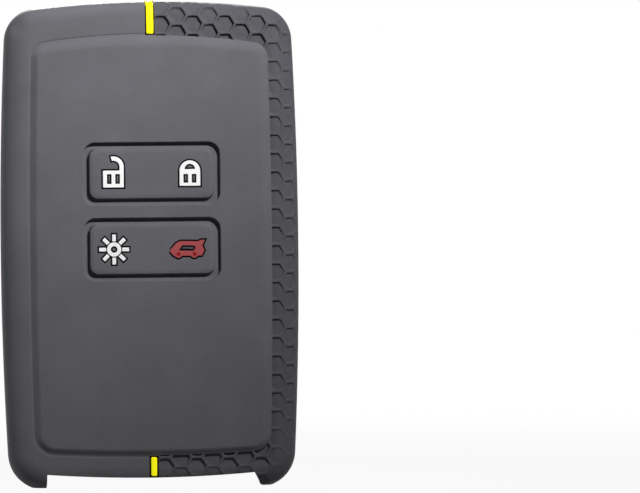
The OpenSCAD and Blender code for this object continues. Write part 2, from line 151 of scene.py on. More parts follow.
def block(low: Numbers, high: Numbers) -> Solid:
    """Build a plain cutting block.

    Args:
        low: Its lowest corner.
        high: Its highest corner.

    Returns:
        The closed solid.
    """
    (x0, y0, z0), (x1, y1, z1) = low, high
    ring = [[x0, z0], [x1, z0], [x1, z1], [x0, z1]]
    return loft(layered(np.array([ring, ring], float), (y0, y1)))


def sweep(path: np.ndarray, out: np.ndarray, profile: np.ndarray, shrink: np.ndarray) -> Solid:
    """Carry a profile along a path in the plane X = 0.

    Point (k, i) = path k + profile i's x along X + profile i's height along the path's normal,
    both times the shrink of that place, so the ends can round off.

    Args:
        path: Places along the path, count by 3.
        out: Unit normals there, count by 3.
        profile: Closed profile as width and height, anticlockwise seen along the path.
        shrink: Size of the profile at each place, as a share.

    Returns:
        The closed solid.
    """
    across = np.array([1.0, 0.0, 0.0])
    middle = np.array([0.0, (profile[:, 1].max() + profile[:, 1].min()) / 2])
    flat = middle + (profile - middle)[None] * shrink[:, None, None]
    rings = path[:, None] + flat[..., :1] * across + flat[..., 1:] * out[:, None]
    return loft(rings)


@dataclass(frozen=True)
class Profile:
    """A closed outline of arcs in X and Z: point = middle + (radius - inset) * direction."""

    middles: np.ndarray
    radii: np.ndarray
    ways: np.ndarray

    def rings(self, insets: Numbers, ys: Numbers) -> np.ndarray:
        """Stack the outline at each inset and depth.

        Args:
            insets: How far each ring is drawn in, by ring or by ring and point.
            ys: Place along Y, by ring or by ring and point.

        Returns:
            Array of rings by points by 3.
        """
        radii = self.radii - np.reshape(insets, (len(insets), -1))
        return layered(self.middles + radii[..., None] * self.ways, ys)


def angle_of(v: np.ndarray) -> float:
    """Return the angle of a flat vector in radians."""
    return math.atan2(v[1], v[0])


def crossing(c1: np.ndarray, r1: float, c2: np.ndarray, r2: float, side: int) -> np.ndarray:
    """Find where two circles cross.

    Args:
        c1: Middle of the first circle.
        r1: Its radius.
        c2: Middle of the second circle.
        r2: Its radius.
        side: 1 for the crossing on the left of the line from c1 to c2, -1 for the right.

    Returns:
        The crossing.
    """
    gap = float(np.linalg.norm(c2 - c1))
    u = (c2 - c1) / gap
    along = (gap * gap + r1 * r1 - r2 * r2) / (2 * gap)
    up = math.sqrt(r1 * r1 - along * along)
    return c1 + along * u + side * up * np.array([-u[1], u[0]])


@dataclass(frozen=True)
class BowedShape:
    """An upright outline of bowed sides, crown and foot that run into each other by round corners."""

    width: float
    bottom: float
    top: float
    side_r: float
    crown_r: float
    foot_r: float
    corner_r: float
    low_r: float

    @property
    def side(self) -> np.ndarray:
        """Middle of the side's arc."""
        return np.array([self.width / 2 - self.side_r, (self.bottom + self.top) / 2])

    @property
    def crown(self) -> np.ndarray:
        """Middle of the crown's arc."""
        return np.array([0.0, self.top - self.crown_r])

    @property
    def foot(self) -> np.ndarray:
        """Middle of the foot's arc."""
        return np.array([0.0, self.bottom + self.foot_r])

    @property
    def high(self) -> np.ndarray:
        """Middle of the upper corner's arc."""
        r = self.corner_r
        return crossing(self.side, self.side_r - r, self.crown, self.crown_r - r, 1)

    @property
    def low(self) -> np.ndarray:
        """Middle of the lower corner's arc."""
        r = self.low_r
        return crossing(self.side, self.side_r - r, self.foot, self.foot_r - r, -1)

    def profile(self, steps: tuple[int, int, int] = (12, 12, 22)) -> Profile:
        """Lay out the outline from the foot's middle round the right side, and mirrored back.

        Args:
            steps: Points on the foot or crown, on a corner and on a side.

        Returns:
            The profile.
        """
        flat, corner, long = steps
        low_a = angle_of(self.low - self.foot)
        side_lo = angle_of(self.low - self.side)
        side_hi = angle_of(self.high - self.side)
        high_a = angle_of(self.high - self.crown)
        arcs = [
            (self.foot, self.foot_r, -math.pi / 2, low_a, flat),
            (self.low, self.low_r, low_a, side_lo, corner),
            (self.side, self.side_r, side_lo, side_hi, long),
            (self.high, self.corner_r, side_hi, high_a, corner),
            (self.crown, self.crown_r, high_a, math.pi / 2, flat),
        ]
        middles = np.concatenate([np.tile(c, (n, 1)) for c, _, _, _, n in arcs] + [self.crown[None]])
        radii = np.concatenate([np.full(n, r) for _, r, _, _, n in arcs] + [[self.crown_r]])
        turns = np.concatenate([np.linspace(a, b, n, endpoint=False) for _, _, a, b, n in arcs])
        turns = np.append(turns, math.pi / 2)
        ways = np.stack([np.cos(turns), np.sin(turns)], -1)
        mirror = np.array([-1.0, 1.0])
        back = slice(-2, 0, -1)
        return Profile(
            np.concatenate([middles, middles[back] * mirror]),
            np.concatenate([radii, radii[back]]),
            np.concatenate([ways, ways[back] * mirror]),
        )


def rounded_profile(
    corners: np.ndarray, r: float, steps: int = 8, lift: float = 0.0, runs: int = 12
) -> Profile:
    """Round the corners of a convex outline.

    Each corner's arc has its middle r / cos(half the turn) in from the corner, and the middles
    move evenly from one corner to the next along the straight edge between them.

    Args:
        corners: Corners, anticlockwise seen from the front.
        r: Radius of the corners.
        steps: Segments in each corner.
        lift: Height that the outline's origin is moved to.
        runs: Points along each straight edge.

    Returns:
        The profile.
    """
    corners = np.asarray(corners, float)
    into = corners - np.roll(corners, 1, 0)
    away = np.roll(corners, -1, 0) - corners
    a0 = np.arctan2(into[:, 1], into[:, 0])
    turn = (np.arctan2(away[:, 1], away[:, 0]) - a0) % (2 * math.pi)
    start = a0 - math.pi / 2
    mid = start + turn / 2
    middles = corners - (r / np.cos(turn / 2))[:, None] * np.stack([np.cos(mid), np.sin(mid)], -1)
    share = np.linspace(0, 1, steps + 1)
    turns = start[:, None] + turn[:, None] * share
    arcs = np.stack([np.cos(turns), np.sin(turns)], -1)
    along = np.linspace(0, 1, runs + 2)[1:-1, None]
    onward = middles[:, None] + (np.roll(middles, -1, 0) - middles)[:, None] * along
    ways = np.concatenate([arcs, np.repeat(arcs[:, -1:], runs, 1)], 1).reshape(-1, 2)
    middles = np.concatenate([np.repeat(middles[:, None], steps + 1, 1), onward], 1).reshape(-1, 2)
    return Profile(middles + [0.0, lift], np.full(len(ways), r), ways)


def rectangle(width: float, height: float) -> np.ndarray:
    """Return the corners of a rectangle about the origin."""
    return np.array([[-1, -1], [1, -1], [1, 1], [-1, 1]]) * [width / 2, height / 2]


def modify(target: bpy.types.Object, kind: str, **settings: object) -> None:
    """Apply a modifier to an object's mesh.

    Args:
        target: The object.
        kind: The modifier's type.
        settings: Its properties.
    """
    step = target.modifiers.new(kind, kind)
    for key, value in settings.items():
        setattr(step, key, value)
    bpy.context.view_layer.update()
    graph = bpy.context.evaluated_depsgraph_get()
    mesh = bpy.data.meshes.new_from_object(target.evaluated_get(graph))
    target.modifiers.clear()
    target.data = mesh


class Cut(Enum):
    """What a cutter does to the piece that it meets."""

    TAKE = "DIFFERENCE"
    KEEP = "INTERSECT"
    JOIN = "UNION"


def carve(target: bpy.types.Object, cutter: Solid | bpy.types.Object, cut: Cut = Cut.TAKE) -> None:
    """Cut, keep or join a piece with a closed form, and drop the form.

    Args:
        target: The piece.
        cutter: The closed form.
        cut: What it does.
    """
    tool = cutter.object("cutter") if isinstance(cutter, Solid) else cutter
    modify(target, "BOOLEAN", operation=cut.value, solver="MANIFOLD", object=tool)
    bpy.data.objects.remove(tool)
    if not len(target.data.polygons):
        raise ValueError(f"cutting {target.name} left nothing")


def soften(target: bpy.types.Object, angle: float) -> None:
    """Shade a piece smooth up to an angle, with large faces kept flat.

    Args:
        target: The piece.
        angle: Edges sharper than this stay crisp, in degrees.
    """
    target.data.shade_smooth()
    target.data.set_sharp_from_angle(angle=math.radians(angle))
    modify(target, "WEIGHTED_NORMAL", mode="FACE_AREA", weight=60, keep_sharp=True)


def copied(node: str, name: str, shift: float = 0.0) -> bpy.types.Object:
    """Copy a CAD node as a merged mesh with large flat faces.

    Args:
        node: The node.
        name: Name of the copy.
        shift: How far its points are moved along X, in millimetres.

    Returns:
        The copy in the scene.
    """
    source = bpy.data.objects[node]
    mesh = source.data.copy()
    mesh.name = name
    work = bmesh.new()
    work.from_mesh(mesh)
    bmesh.ops.remove_doubles(work, verts=work.verts, dist=1e-7)
    bmesh.ops.translate(work, verts=work.verts, vec=(shift * MM, 0.0, 0.0))
    bmesh.ops.dissolve_limit(
        work, angle_limit=math.radians(1), verts=work.verts, edges=work.edges, delimit=set()
    )
    work.to_mesh(mesh)
    work.free()
    return placed(name, mesh)


def rim(
    radius: float, plane: float, way: int, steps: int = 4, turn: float = 62.0
) -> tuple[np.ndarray, np.ndarray]:
    """Work out a cutter's flare that rounds the rim of a hole.

    inset = -r (1 - cos a) and y = plane + way * r (1 - sin a), for a up to the flare's turn, and
    then straight on past the face for three radii.

    Args:
        radius: Radius of the rounded rim.
        plane: Place of the face along Y.
        way: 1 where the hole goes back from a front face, -1 where it goes forward.
        steps: Rings in the flare.
        turn: How far the flare turns, in degrees.

    Returns:
        Insets and places along Y, from the hole out to past the face.
    """
    a = np.radians(np.linspace(0, turn, steps))
    inset = -radius * (1 - np.cos(a))
    y = plane + way * radius * (1 - np.sin(a))
    run = 3 * radius
    inset = np.append(inset, inset[-1] - run * math.sin(a[-1]))
    y = np.append(y, y[-1] - way * run * math.cos(a[-1]))
    return inset, y


# Sizes


@dataclass(frozen=True)
class Sizes:
    """Sizes that several pieces share, in millimetres."""

    body: BowedShape = BowedShape(
        64, -0.8, 104.1, side_r=880, crown_r=205, foot_r=880, corner_r=7.2, low_r=7.9
    )
    panel: BowedShape = BowedShape(
        50.64, 7.3, 96.1, side_r=1445, crown_r=157.1, foot_r=350, corner_r=2.9, low_r=3.6
    )
    front: float = -5.7
    face: float = -6.5
    back: float = 6.35
    front_round: float = 5.0
    back_round: float = 5.5
    wall: float = 1.8
    side_wall: float = 3.0
    pocket_round: float = 2.0
    grip_t: float = 1.0
    channel_half: float = 1.025
    channel_depth: float = 0.65
    grip_front_z: float = -1.5
    grip_back_z: float = 6.0
    panel_cove: float = 0.5
    panel_slope: float = 0.85
    groove_depth: float = 0.12
    groove_w: float = 0.28
    crown_power: float = 0.55
    crown_from: float = 0.5
    crown_run: float = 0.45
    soft_side: float = 1.3
    window_z: float = 52.0
    window_w: float = 12.8
    window_h: float = 17.4
    window_edge: float = 6.4
    window_r: float = 1.0
    window_bevel: float = 0.6
    window_lip: float = 1.1
    opening_w: float = 29.2
    opening_h: float = 13.2
    opening_r: float = 2.5
    pads_z: tuple[float, float] = (67.075, 50.925)
    symbol_x: float = 8.2

    @property
    def card_front(self) -> float:
        """Inner face of the front wall."""
        return self.front + self.wall

    @property
    def card_back(self) -> float:
        """Inner face of the back wall."""
        return self.back - self.wall

    @property
    def window(self) -> np.ndarray:
        """Corners of the window about its middle."""
        e, w, h = self.window_edge / 2, self.window_w / 2, self.window_h / 2
        return np.array([[-e, -h], [e, -h], [w, 0], [e, h], [-e, h], [-w, 0]])

    def edge_power(self, up: np.ndarray) -> np.ndarray:
        """Return how the front edge is rounded where the outline faces up by that share.

        1 is a quarter round, and a smaller power is boxier, as the front of the crown is.
        """
        t = np.clip((up - self.crown_from) / self.crown_run, 0, 1)
        return 1 - (1 - self.crown_power) * t * t * (3 - 2 * t)

    def edge_rings(self, depth: float, steps: int = 12) -> tuple[np.ndarray, np.ndarray]:
        """Lay out the rings round the body's front and back edges.

        In front, inset = r (1 - sin(a)^e) at r (1 - cos(a)^e) behind the face, with the power e
        of each place on the outline, and behind the same with a power of 1.

        Args:
            depth: How far under the surface the rings lie.
            steps: Rings in each rounded edge.

        Returns:
            Insets and places along Y, both rings by points.
        """
        a = np.linspace(0, math.pi / 2, steps + 1)[:, None]
        e = self.edge_power(self.body.profile().ways[:, 1])[None]
        r0, r1 = self.front_round - depth, self.back_round - depth
        front_in, back_in = r0 * (1 - np.sin(a) ** e), r1 * (1 - np.sin(a)) + 0 * e
        front_y, back_y = r0 * (1 - np.cos(a) ** e), r1 * (1 - np.cos(a)) + 0 * e
        insets = np.concatenate([front_in, back_in[::-1]]) + depth
        ys = np.concatenate([self.front + depth + front_y, (self.back - depth - back_y)[::-1]])
        return insets, ys

    def body_form(self, depth: float) -> Solid:
        """Build the form that lies a constant depth under the body's surface."""
        return loft(self.body.profile().rings(*self.edge_rings(depth)))

    def grip_zone(self) -> bpy.types.Object:
        """Build the space that the honeycomb skin takes up.

        A wedge right of the stripe and above the skin's slanting lower border, less the panel's
        outline in front and the window's lip behind.

        Returns:
            The zone as a loose object.
        """
        slope = (self.grip_back_z - self.grip_front_z) / (self.back - self.front)
        ys = np.array([-CLEAR, self.front, self.back, CLEAR])
        lows = self.grip_front_z + slope * (np.clip(ys, self.front, self.back) - self.front)
        left = self.channel_half
        rings = [[[left, z], [CLEAR, z], [CLEAR, CLEAR], [left, CLEAR]] for z in lows]
        zone = loft(layered(np.array(rings), ys)).object("zone")
        panel = self.panel.profile().rings([-self.panel_cove] * 2, [-CLEAR, 0.0])
        carve(zone, loft(panel))
        lip = self.window_bevel + self.window_lip
        land = rounded_profile(self.window, self.window_r, 6, self.window_z)
        carve(zone, loft(land.rings([-lip] * 2, [0.0, CLEAR])))
        return zone


# Materials


class Wire:
    """One value in a shader, with Python's arithmetic on it."""

    def __init__(self, dress: "Dress", socket: bpy.types.NodeSocket) -> None:
        """Wrap an output socket of a dress."""
        self.dress = dress
        self.socket = socket

    def _math(self, kind: str, *values: "Wire | float") -> "Wire":
        """Add a Math node of a kind on the values."""
        return self.dress.node("ShaderNodeMath", {"operation": kind}, dict(enumerate(values)))

    def __add__(self, other: "Wire | float") -> "Wire":
        """Return self + other."""
        return self._math("ADD", self, other)

    def __sub__(self, other: "Wire | float") -> "Wire":
        """Return self - other."""
        return self._math("SUBTRACT", self, other)

    def __rsub__(self, other: float) -> "Wire":
        """Return other - self."""
        return self._math("SUBTRACT", other, self)

    def __mul__(self, other: "Wire | float") -> "Wire":
        """Return self times other."""
        return self._math("MULTIPLY", self, other)

    __radd__ = __add__
    __rmul__ = __mul__

    def __abs__(self) -> "Wire":
        """Return the size of self without its sign."""
        return self._math("ABSOLUTE", self)

    def root(self) -> "Wire":
        """Return the square root of self."""
        return self._math("SQRT", self)

    def most(self, other: "Wire | float") -> "Wire":
        """Return the larger of self and other."""
        return self._math("MAXIMUM", self, other)

    def least(self, other: "Wire | float") -> "Wire":
        """Return the smaller of self and other."""
        return self._math("MINIMUM", self, other)

    def ease(self, low: float, high: float) -> "Wire":
        """Rise smoothly from 0 at low to 1 at high."""
        values = {"Value": self, "From Min": low, "From Max": high}
        return self.dress.node("ShaderNodeMapRange", {"interpolation_type": "SMOOTHSTEP"}, values)

    def past(self, edge: float, soft: float) -> "Wire":
        """Rise smoothly from 0 at an edge to 1 that much farther on, both in millimetres."""
        return self.ease(edge * MM, (edge + soft) * MM)

    def short_of(self, edge: float, soft: float) -> "Wire":
        """Fall smoothly from 1 at an edge to 0 that much farther on, both in millimetres."""
        return 1 - self.past(edge, soft)


Colour = tuple[float, float, float]


def from_screen(code: str) -> Colour:
    """Turn a screen colour such as "69686d" into the linear one that a shader takes."""
    parts = [int(code[k : k + 2], 16) / 255 for k in (0, 2, 4)]
    return tuple(c / 12.92 if c <= 0.04045 else ((c + 0.055) / 1.055) ** 2.4 for c in parts)


class Dress:
    """The nodes of a material or a world under construction."""

    def __init__(self, owner: bpy.types.Material | bpy.types.World) -> None:
        """Start with no nodes.

        Args:
            owner: The material or world.
        """
        owner.use_nodes = True
        self.owner = owner
        self.tree = owner.node_tree
        self.tree.nodes.clear()

    def add(self, kind: str, settings: dict, values: dict) -> bpy.types.Node:
        """Add a node.

        Args:
            kind: The node's type.
            settings: Its properties, which are set first.
            values: Values or wires for its sockets, by name or place.

        Returns:
            The node.
        """
        made = self.tree.nodes.new(kind)
        for key, value in settings.items():
            setattr(made, key, value)
        for key, value in values.items():
            socket = made.inputs[key]
            if isinstance(value, Wire):
                self.tree.links.new(value.socket, socket)
            elif isinstance(value, tuple) and len(value) == 3 and socket.type == "RGBA":
                socket.default_value = (*value, 1.0)
            else:
                socket.default_value = value
        return made

    def node(self, kind: str, settings: dict, values: dict, out: int | str = 0) -> Wire:
        """Add a node as above, and return one of its outputs, by name or place."""
        return Wire(self, self.add(kind, settings, values).outputs[out])

    def blend(self, share: Wire, a: "Wire | Colour", b: "Wire | Colour") -> Wire:
        """Mix two colours: a where share is 0, b where it is 1."""
        return self.node("ShaderNodeMix", {"data_type": "RGBA"}, {0: share, 6: a, 7: b}, 2)

    def place(self) -> Wire:
        """Return the point in the object's own space, in metres."""
        return self.node("ShaderNodeTexCoord", {}, {}, "Object")

    def part_of(self, place: Wire) -> tuple[Wire, ...]:
        """Split a place into its X, Y and Z."""
        split = self.add("ShaderNodeSeparateXYZ", {}, {0: place})
        return tuple(Wire(self, part) for part in split.outputs)

    def noise(self, place: Wire, size: float, detail: float = 2.0) -> Wire:
        """Return noise from 0 to 1.

        Args:
            place: Point that it is read at.
            size: Size of its features in millimetres.
            detail: Octaves of finer noise.

        Returns:
            The noise.
        """
        values = {"Vector": place, "Scale": 1 / (size * MM), "Detail": detail}
        return self.node("ShaderNodeTexNoise", {}, values)

    def seen(self) -> Wire:
        """Tell what the camera sees, straight or in a gloss or through a clear piece.

        Returns:
            1 for such a ray and 0 for any other.
        """
        rays = self.add("ShaderNodeLightPath", {}, {}).outputs
        kinds = ("Camera", "Glossy", "Transmission")
        camera, gloss, clear = (Wire(self, rays[f"Is {kind} Ray"]) for kind in kinds)
        return camera.most(gloss).most(clear)

    def close(self, shader: Wire) -> bpy.types.Material | bpy.types.World:
        """Lead a shader to the surface.

        Args:
            shader: The shader.

        Returns:
            The finished material or world.
        """
        kind = "World" if isinstance(self.owner, bpy.types.World) else "Material"
        self.add(f"ShaderNodeOutput{kind}", {}, {"Surface": shader})
        return self.owner


@dataclass(frozen=True)
class Silicone:
    """Moulded silicone rubber: matt, finely grained, with faint mottling.

    Sizes are in millimetres. The mottle and the change of roughness are shares.
    """

    name: str
    colour: str
    roughness: float = 0.6
    rough_change: float = 0.12
    rough_size: float = 5.0
    mottle: float = 0.08
    cloud_size: float = 9.0
    speck_size: float = 0.35
    grain: float = 0.35
    grain_height: float = 0.03
    grain_size: float = 0.16
    ripple_size: float = 1.6
    specular: float = 0.08
    # Painted light: strength that the colour glows with, though the piece is no lamp
    glow: float = 0.0

    def base(self, dress: Dress, place: Wire) -> Wire:
        """Return the colour with faint clouds and fine specks.

        Args:
            dress: The material.
            place: Point in the object's space.

        Returns:
            The colour.
        """
        plain = np.array(from_screen(self.colour))
        dark = tuple(plain * (1 - self.mottle))
        light = tuple(np.minimum(plain * (1 + self.mottle), 1))
        clouds = dress.noise(place, self.cloud_size, 3)
        specks = dress.noise(place, self.speck_size)
        return dress.blend((clouds * 0.6 + specks * 0.4).ease(0.3, 0.7), dark, light)

    def colour_at(self, dress: Dress, place: Wire) -> Wire:
        """Return the finished colour, which kinds of silicone change."""
        return self.base(dress, place)

    def make(self) -> bpy.types.Material:
        """Build the material.

        Returns:
            The material.
        """
        dress = Dress(bpy.data.materials.new(self.name))
        place = dress.place()
        height = dress.noise(place, self.grain_size) * 0.7 + dress.noise(place, self.ripple_size) * 0.3
        bumps = {"Strength": self.grain, "Distance": self.grain_height * MM, "Height": height}
        rough = dress.noise(place, self.rough_size, 3) - 0.5
        colour = self.colour_at(dress, place)
        values = {
            "Base Color": colour,
            # Painted light: the colour glows by the glow's strength
            "Emission Color": colour,
            "Emission Strength": self.glow,
            "Roughness": self.roughness + rough * self.rough_change,
            "Normal": dress.node("ShaderNodeBump", {}, bumps),
            "Specular IOR Level": self.specular,
        }
        return dress.close(dress.node("ShaderNodeBsdfPrincipled", {}, values))


@dataclass(frozen=True)
class PocketSilicone(Silicone):
    """Silicone of the sleeve, with painted shade on the pocket's walls and in the stripes' channels.

    The pocket's space is the body's form drawn in by the walls less the slack, and its upper
    corners end on a slant where lean * |x| + z reaches a height.
    """

    sizes: Sizes = Sizes()
    # Colours of the painted shade inside the pocket and in the stripes' channels
    painted_pocket_shade: str = "39383c"
    painted_channel_shade: str = "141410"
    slack: float = 0.2
    soft: float = 0.3
    top: float = 100.7
    foot: float = 4.0
    slant: float = 113.6
    lean: float = 0.55
    channel_shade_half: float = 1.0
    buttons_z: float = 59.0
    buttons_reach: float = 18.0

    def colour_at(self, dress: Dress, place: Wire) -> Wire:
        """Paint shade between the pocket's walls and in the channels, clear of the buttons.

        Args:
            dress: The material.
            place: Point in the object's space.

        Returns:
            The colour.
        """
        s, soft = self.sizes, self.soft
        x, y, z = dress.part_of(place)
        across = abs(x)
        rise = z - s.body.side[1] * MM
        bowed = across + rise * rise * (0.5 / (s.body.side_r * MM))
        # Painted shade on the pocket's inside
        inside = y.past(s.card_front - self.slack - soft, soft)
        inside = inside * y.short_of(s.card_back + self.slack, soft)
        inside = inside * bowed.short_of(s.body.width / 2 - s.side_wall + self.slack, 0.4)
        inside = inside * z.short_of(self.top, soft)
        inside = inside * (across * self.lean + z).short_of(self.slant, soft)
        inside = inside * z.past(self.foot, 1.0)
        # Painted shade, nearly black, in the stripes' channels beside the stripes
        seam = across.short_of(self.channel_shade_half - 0.05, 0.15)
        seam = seam * y.past(s.front + 0.05, 0.1) * y.short_of(s.back - 0.15, 0.1)
        buttons = abs(z - self.buttons_z * MM).short_of(self.buttons_reach, 1.0) * y.short_of(0.0, 1.0)
        colour = dress.blend(seam * (1 - buttons), self.base(dress, place), from_screen(self.painted_channel_shade))
        return dress.blend(inside, colour, from_screen(self.painted_pocket_shade))


@dataclass(frozen=True)
class PadSilicone(Silicone):
    """Silicone of the pads, with painted shade, nearly black, in the fine gaps round the symbols."""

    sizes: Sizes = Sizes()
    painted_gap_shade: str = "0c0c0e"
    reach: float = 4.2

    def colour_at(self, dress: Dress, place: Wire) -> Wire:
        """Paint shade under the face, round each symbol.

        Args:
            dress: The material.
            place: Point in the object's space.

        Returns:
            The colour.
        """
        s = self.sizes
        x, y, z = dress.part_of(place)
        aside = abs(abs(x) - s.symbol_x * MM)
        upper, lower = (abs(z - height * MM) for height in s.pads_z)
        near = aside.most(upper.least(lower)).short_of(self.reach, 0.3)
        # Painted shade in the gaps under the pad's face
        deep = y.past(s.face + 0.06, 0.1)
        return dress.blend(near * deep, self.base(dress, place), from_screen(self.painted_gap_shade))


@dataclass(frozen=True)
class SymbolSilicone(Silicone):
    """Silicone of the white symbols, with painted shade where a symbol's backing lies under the pad's
    face.
    """

    sizes: Sizes = Sizes()
    painted_backing_shade: str = "101013"

    def colour_at(self, dress: Dress, place: Wire) -> Wire:
        """Paint shade under the face.

        Args:
            dress: The material.
            place: Point in the object's space.

        Returns:
            The colour.
        """
        _, y, _ = dress.part_of(place)
        # Painted shade on the backing under the pad's face
        deep = y.past(self.sizes.face + 0.1, 0.1)
        return dress.blend(deep, self.base(dress, place), from_screen(self.painted_backing_shade))


@dataclass(frozen=True)
class CarSilicone(Silicone):
    """Silicone of the car symbol, whose wheels are a darker red than its body."""

    wheel_colour: str = "8b1a1a"
    wheels_x: tuple[float, float] = (5.6, 9.05)
    wheels_z: float = 49.8
    wheel_r: float = 0.42

    def colour_at(self, dress: Dress, place: Wire) -> Wire:
        """Darken the colour in the wheels' discs.

        Args:
            dress: The material.
            place: Point in the object's space.

        Returns:
            The colour.
        """
        x, _, z = dress.part_of(place)
        colour = self.base(dress, place)
        up = z - self.wheels_z * MM
        for wheel_x in self.wheels_x:
            along = x - wheel_x * MM
            disc = (along * along + up * up).root().short_of(self.wheel_r - 0.05, 0.1)
            colour = dress.blend(disc, colour, from_screen(self.wheel_colour))
        return colour


class Finish(Enum):
    """The finishes of the cover's pieces."""

    SHELL = PocketSilicone("silicone_shell", "605f64")
    # The grip is the shell's silicone painted darker, as painted shade of its cells
    GRIP = Silicone("silicone_grip", "525156")
    # The yellow stripes glow with painted light
    YELLOW = Silicone("silicone_yellow", "fff614", roughness=0.5, mottle=0.03, grain=0.2, glow=0.35)
    WEB = Silicone("silicone_web", "605f64")
    PAD = PadSilicone("silicone_pad", "605f64")
    WHITE = SymbolSilicone("silicone_white", "f4f4f4", roughness=0.5, mottle=0.02, grain=0.2)
    RED = CarSilicone("silicone_red", "a04c4e", roughness=0.5, mottle=0.04, grain=0.2)


class Wardrobe:
    """Makes each finish once, dresses the pieces and lets them ride."""

    def __init__(self) -> None:
        """Start with no materials made."""
        self.made: dict[Finish, bpy.types.Material] = {}

    def put(self, target: bpy.types.Object, finish: Finish, body: str, *nodes: str) -> None:
        """Dress a piece, let it ride on a body in place of CAD nodes, and report it.

        Args:
            target: The piece.
            finish: Its finish.
            body: The body.
            nodes: The nodes that it stands for.
        """
        if finish not in self.made:
            self.made[finish] = finish.value.make()
        target.data.materials.clear()
        target.data.materials.append(self.made[finish])
        if nodes:
            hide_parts(*nodes)
        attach(target, body)
        log.info("%s: %d faces on %s", target.name, len(target.data.polygons), body)


# The cover


@dataclass
class Sleeve:
    """The moulded sleeve: raised panel, rounded frame, pocket, mouth, legs, window and openings."""

    sizes: Sizes
    smooth_leg_x: float = 22.9
    grip_leg_x: float = 21.8
    grip_leg_slant: float = 1.0
    grip_leg_turn: float = 1.0
    sole_r: float = 0.9
    front_lip_z: float = 2.9
    front_lip_bow: float = 0.9
    back_lip_z: float = 5.3
    leg_setback: float = 3.6
    lip_r: float = 0.5
    rim_r: float = 0.35
    cap_in: float = 0.6
    grip_overlap: float = 0.05
    below: float = -9.0
    groove: tuple[tuple[float, float], ...] = ((0.35, 0.9), (0.65, 0.3), (1.0, 0.0))

    def shell(self) -> Solid:
        """Build the outside as one loft from the panel's face round the edge to the back.

        The first rings follow the panel's outline down its soft slope: at a place t from 1 to -1
        across it, the height is rise * (1 + sin(90 t degrees)) / 2, and its inner half is wider on
        the right and above. A fine groove follows, given as shares of its width and its depth. The
        next rings follow the body's outline round the front edge and the back edge. Every ring has
        as many points, laid out by the same arcs.

        Returns:
            The closed solid.
        """
        s = self.sizes
        t = np.linspace(1, -1, 15)
        ways = s.panel.profile().ways
        soft = 1 + s.soft_side * np.clip(ways.sum(1), 0, 1)
        groove = np.array(self.groove)
        groove_in = (-s.panel_slope - s.groove_w * groove[:, :1]) + 0 * soft
        slope_in = s.panel_slope * t[:, None] * np.where(t[:, None] > 0, soft[None], 1.0)
        panel_in = np.concatenate([slope_in[:1] + self.cap_in, slope_in, groove_in])
        slope_y = s.front - (s.front - s.face) * (1 + np.sin(t * math.pi / 2)) / 2
        slope_y = slope_y + s.groove_depth * (1 - t) / 2
        groove_y = s.front + s.groove_depth * groove[:, 1]
        panel_y = np.concatenate([[s.face], slope_y, groove_y])
        edge_in, edge_y = s.edge_rings(0.0)
        edge_in = np.concatenate([edge_in, edge_in[-1:] + self.cap_in])
        edge_y = np.concatenate([edge_y, edge_y[-1:]])
        panel = s.panel.profile().rings(panel_in, panel_y)
        return loft(np.concatenate([panel, s.body.profile().rings(edge_in, edge_y)]))

    def pocket(self) -> Solid:
        """Build the hollow for the card, the outline drawn in by the side wall, edges rounded.

        Returns:
            The closed solid.
        """
        s = self.sizes
        a = np.linspace(0, math.pi / 2, 7)
        turn = s.pocket_round * (1 - np.sin(a))
        drop = s.pocket_round * (1 - np.cos(a))
        insets = s.side_wall + np.concatenate([turn, turn[::-1]])
        ys = np.concatenate([s.card_front + drop, (s.card_back - drop)[::-1]])
        return loft(s.body.profile().rings(insets, ys))

    def foot_corner(self) -> np.ndarray:
        """Lay out the mouth's outline round the grip leg's rounded inner foot.

        A quarter round of the sole's radius, from under the leg up to its inner side.

        Returns:
            Places as X and Z.
        """
        sole = self.grip_leg_x + self.grip_leg_slant
        a = np.radians(np.linspace(270, 180, 6))
        middle = np.array([sole + self.sole_r, self.sole_r])
        arc = middle + self.sole_r * np.stack([np.cos(a), np.sin(a)], -1)
        return np.concatenate([[[middle[0], self.below]], arc])

    def front_mouth(self) -> Solid:
        """Build the cut between the legs, up to the front wall's bowed lower edge.

        At a share t of the half width, the lip's height is z - bow * (1 - t squared). Toward the
        face the outline grows by the rounded rim's flare, along (t to the ninth power, 1).

        Returns:
            The closed solid.
        """
        s = self.sizes
        share = np.linspace(1, -1, 25)
        half = np.where(share > 0, self.grip_leg_x, self.smooth_leg_x)
        lip = self.front_lip_z - self.front_lip_bow * (1 - share**2)
        corner = self.foot_corner()
        start = [[-self.smooth_leg_x, self.below]]
        flat = np.concatenate([start, corner, np.stack([half * share, lip], -1)])
        away = np.ones((len(flat), 2))
        away[: -len(share)] = [1.0, 0.0]
        away[0, 0] = -1.0
        away[-len(share) :, 0] = share**9
        grow, y = rim(self.lip_r, s.front + 0.1, 1)
        grow, y = -np.append(grow[::-1], 0.0), np.append(y[::-1], s.card_front + 0.5)
        return loft(layered(flat + away * grow[:, None, None], y))

    def back_mouth(self) -> Solid:
        """Build the cut behind the front wall, up to the back wall's straight lower edge.

        Its right side follows the slanting leg and goes a little farther out going back.

        Returns:
            The closed solid.
        """
        s = self.sizes
        corner = self.foot_corner()
        left, right, high = -self.smooth_leg_x, self.grip_leg_x, self.back_lip_z
        top = [[right, self.front_lip_z], [right, high], [left, high]]
        flat = np.concatenate([[[left, self.below]], corner, top])
        aside = np.array([0.0] + [1.0] * (len(corner) + 2) + [0.0])
        above = np.array([0.0] * (len(corner) + 2) + [1.0, 1.0])
        grow, rim_y = rim(self.lip_r, s.back, -1)
        start = s.card_front + 1.0
        y = np.concatenate([[s.card_front, start], rim_y])
        share = np.clip((y - start) / (s.back - start), 0, 1.2)
        lift = np.concatenate([[0.0, 0.0], -grow])
        x = flat[:, 0] + aside * (lift[:, None] + self.grip_leg_turn * share[:, None])
        z = flat[:, 1] + above * lift[:, None]
        return loft(layered(np.stack([x, z], -1), y))

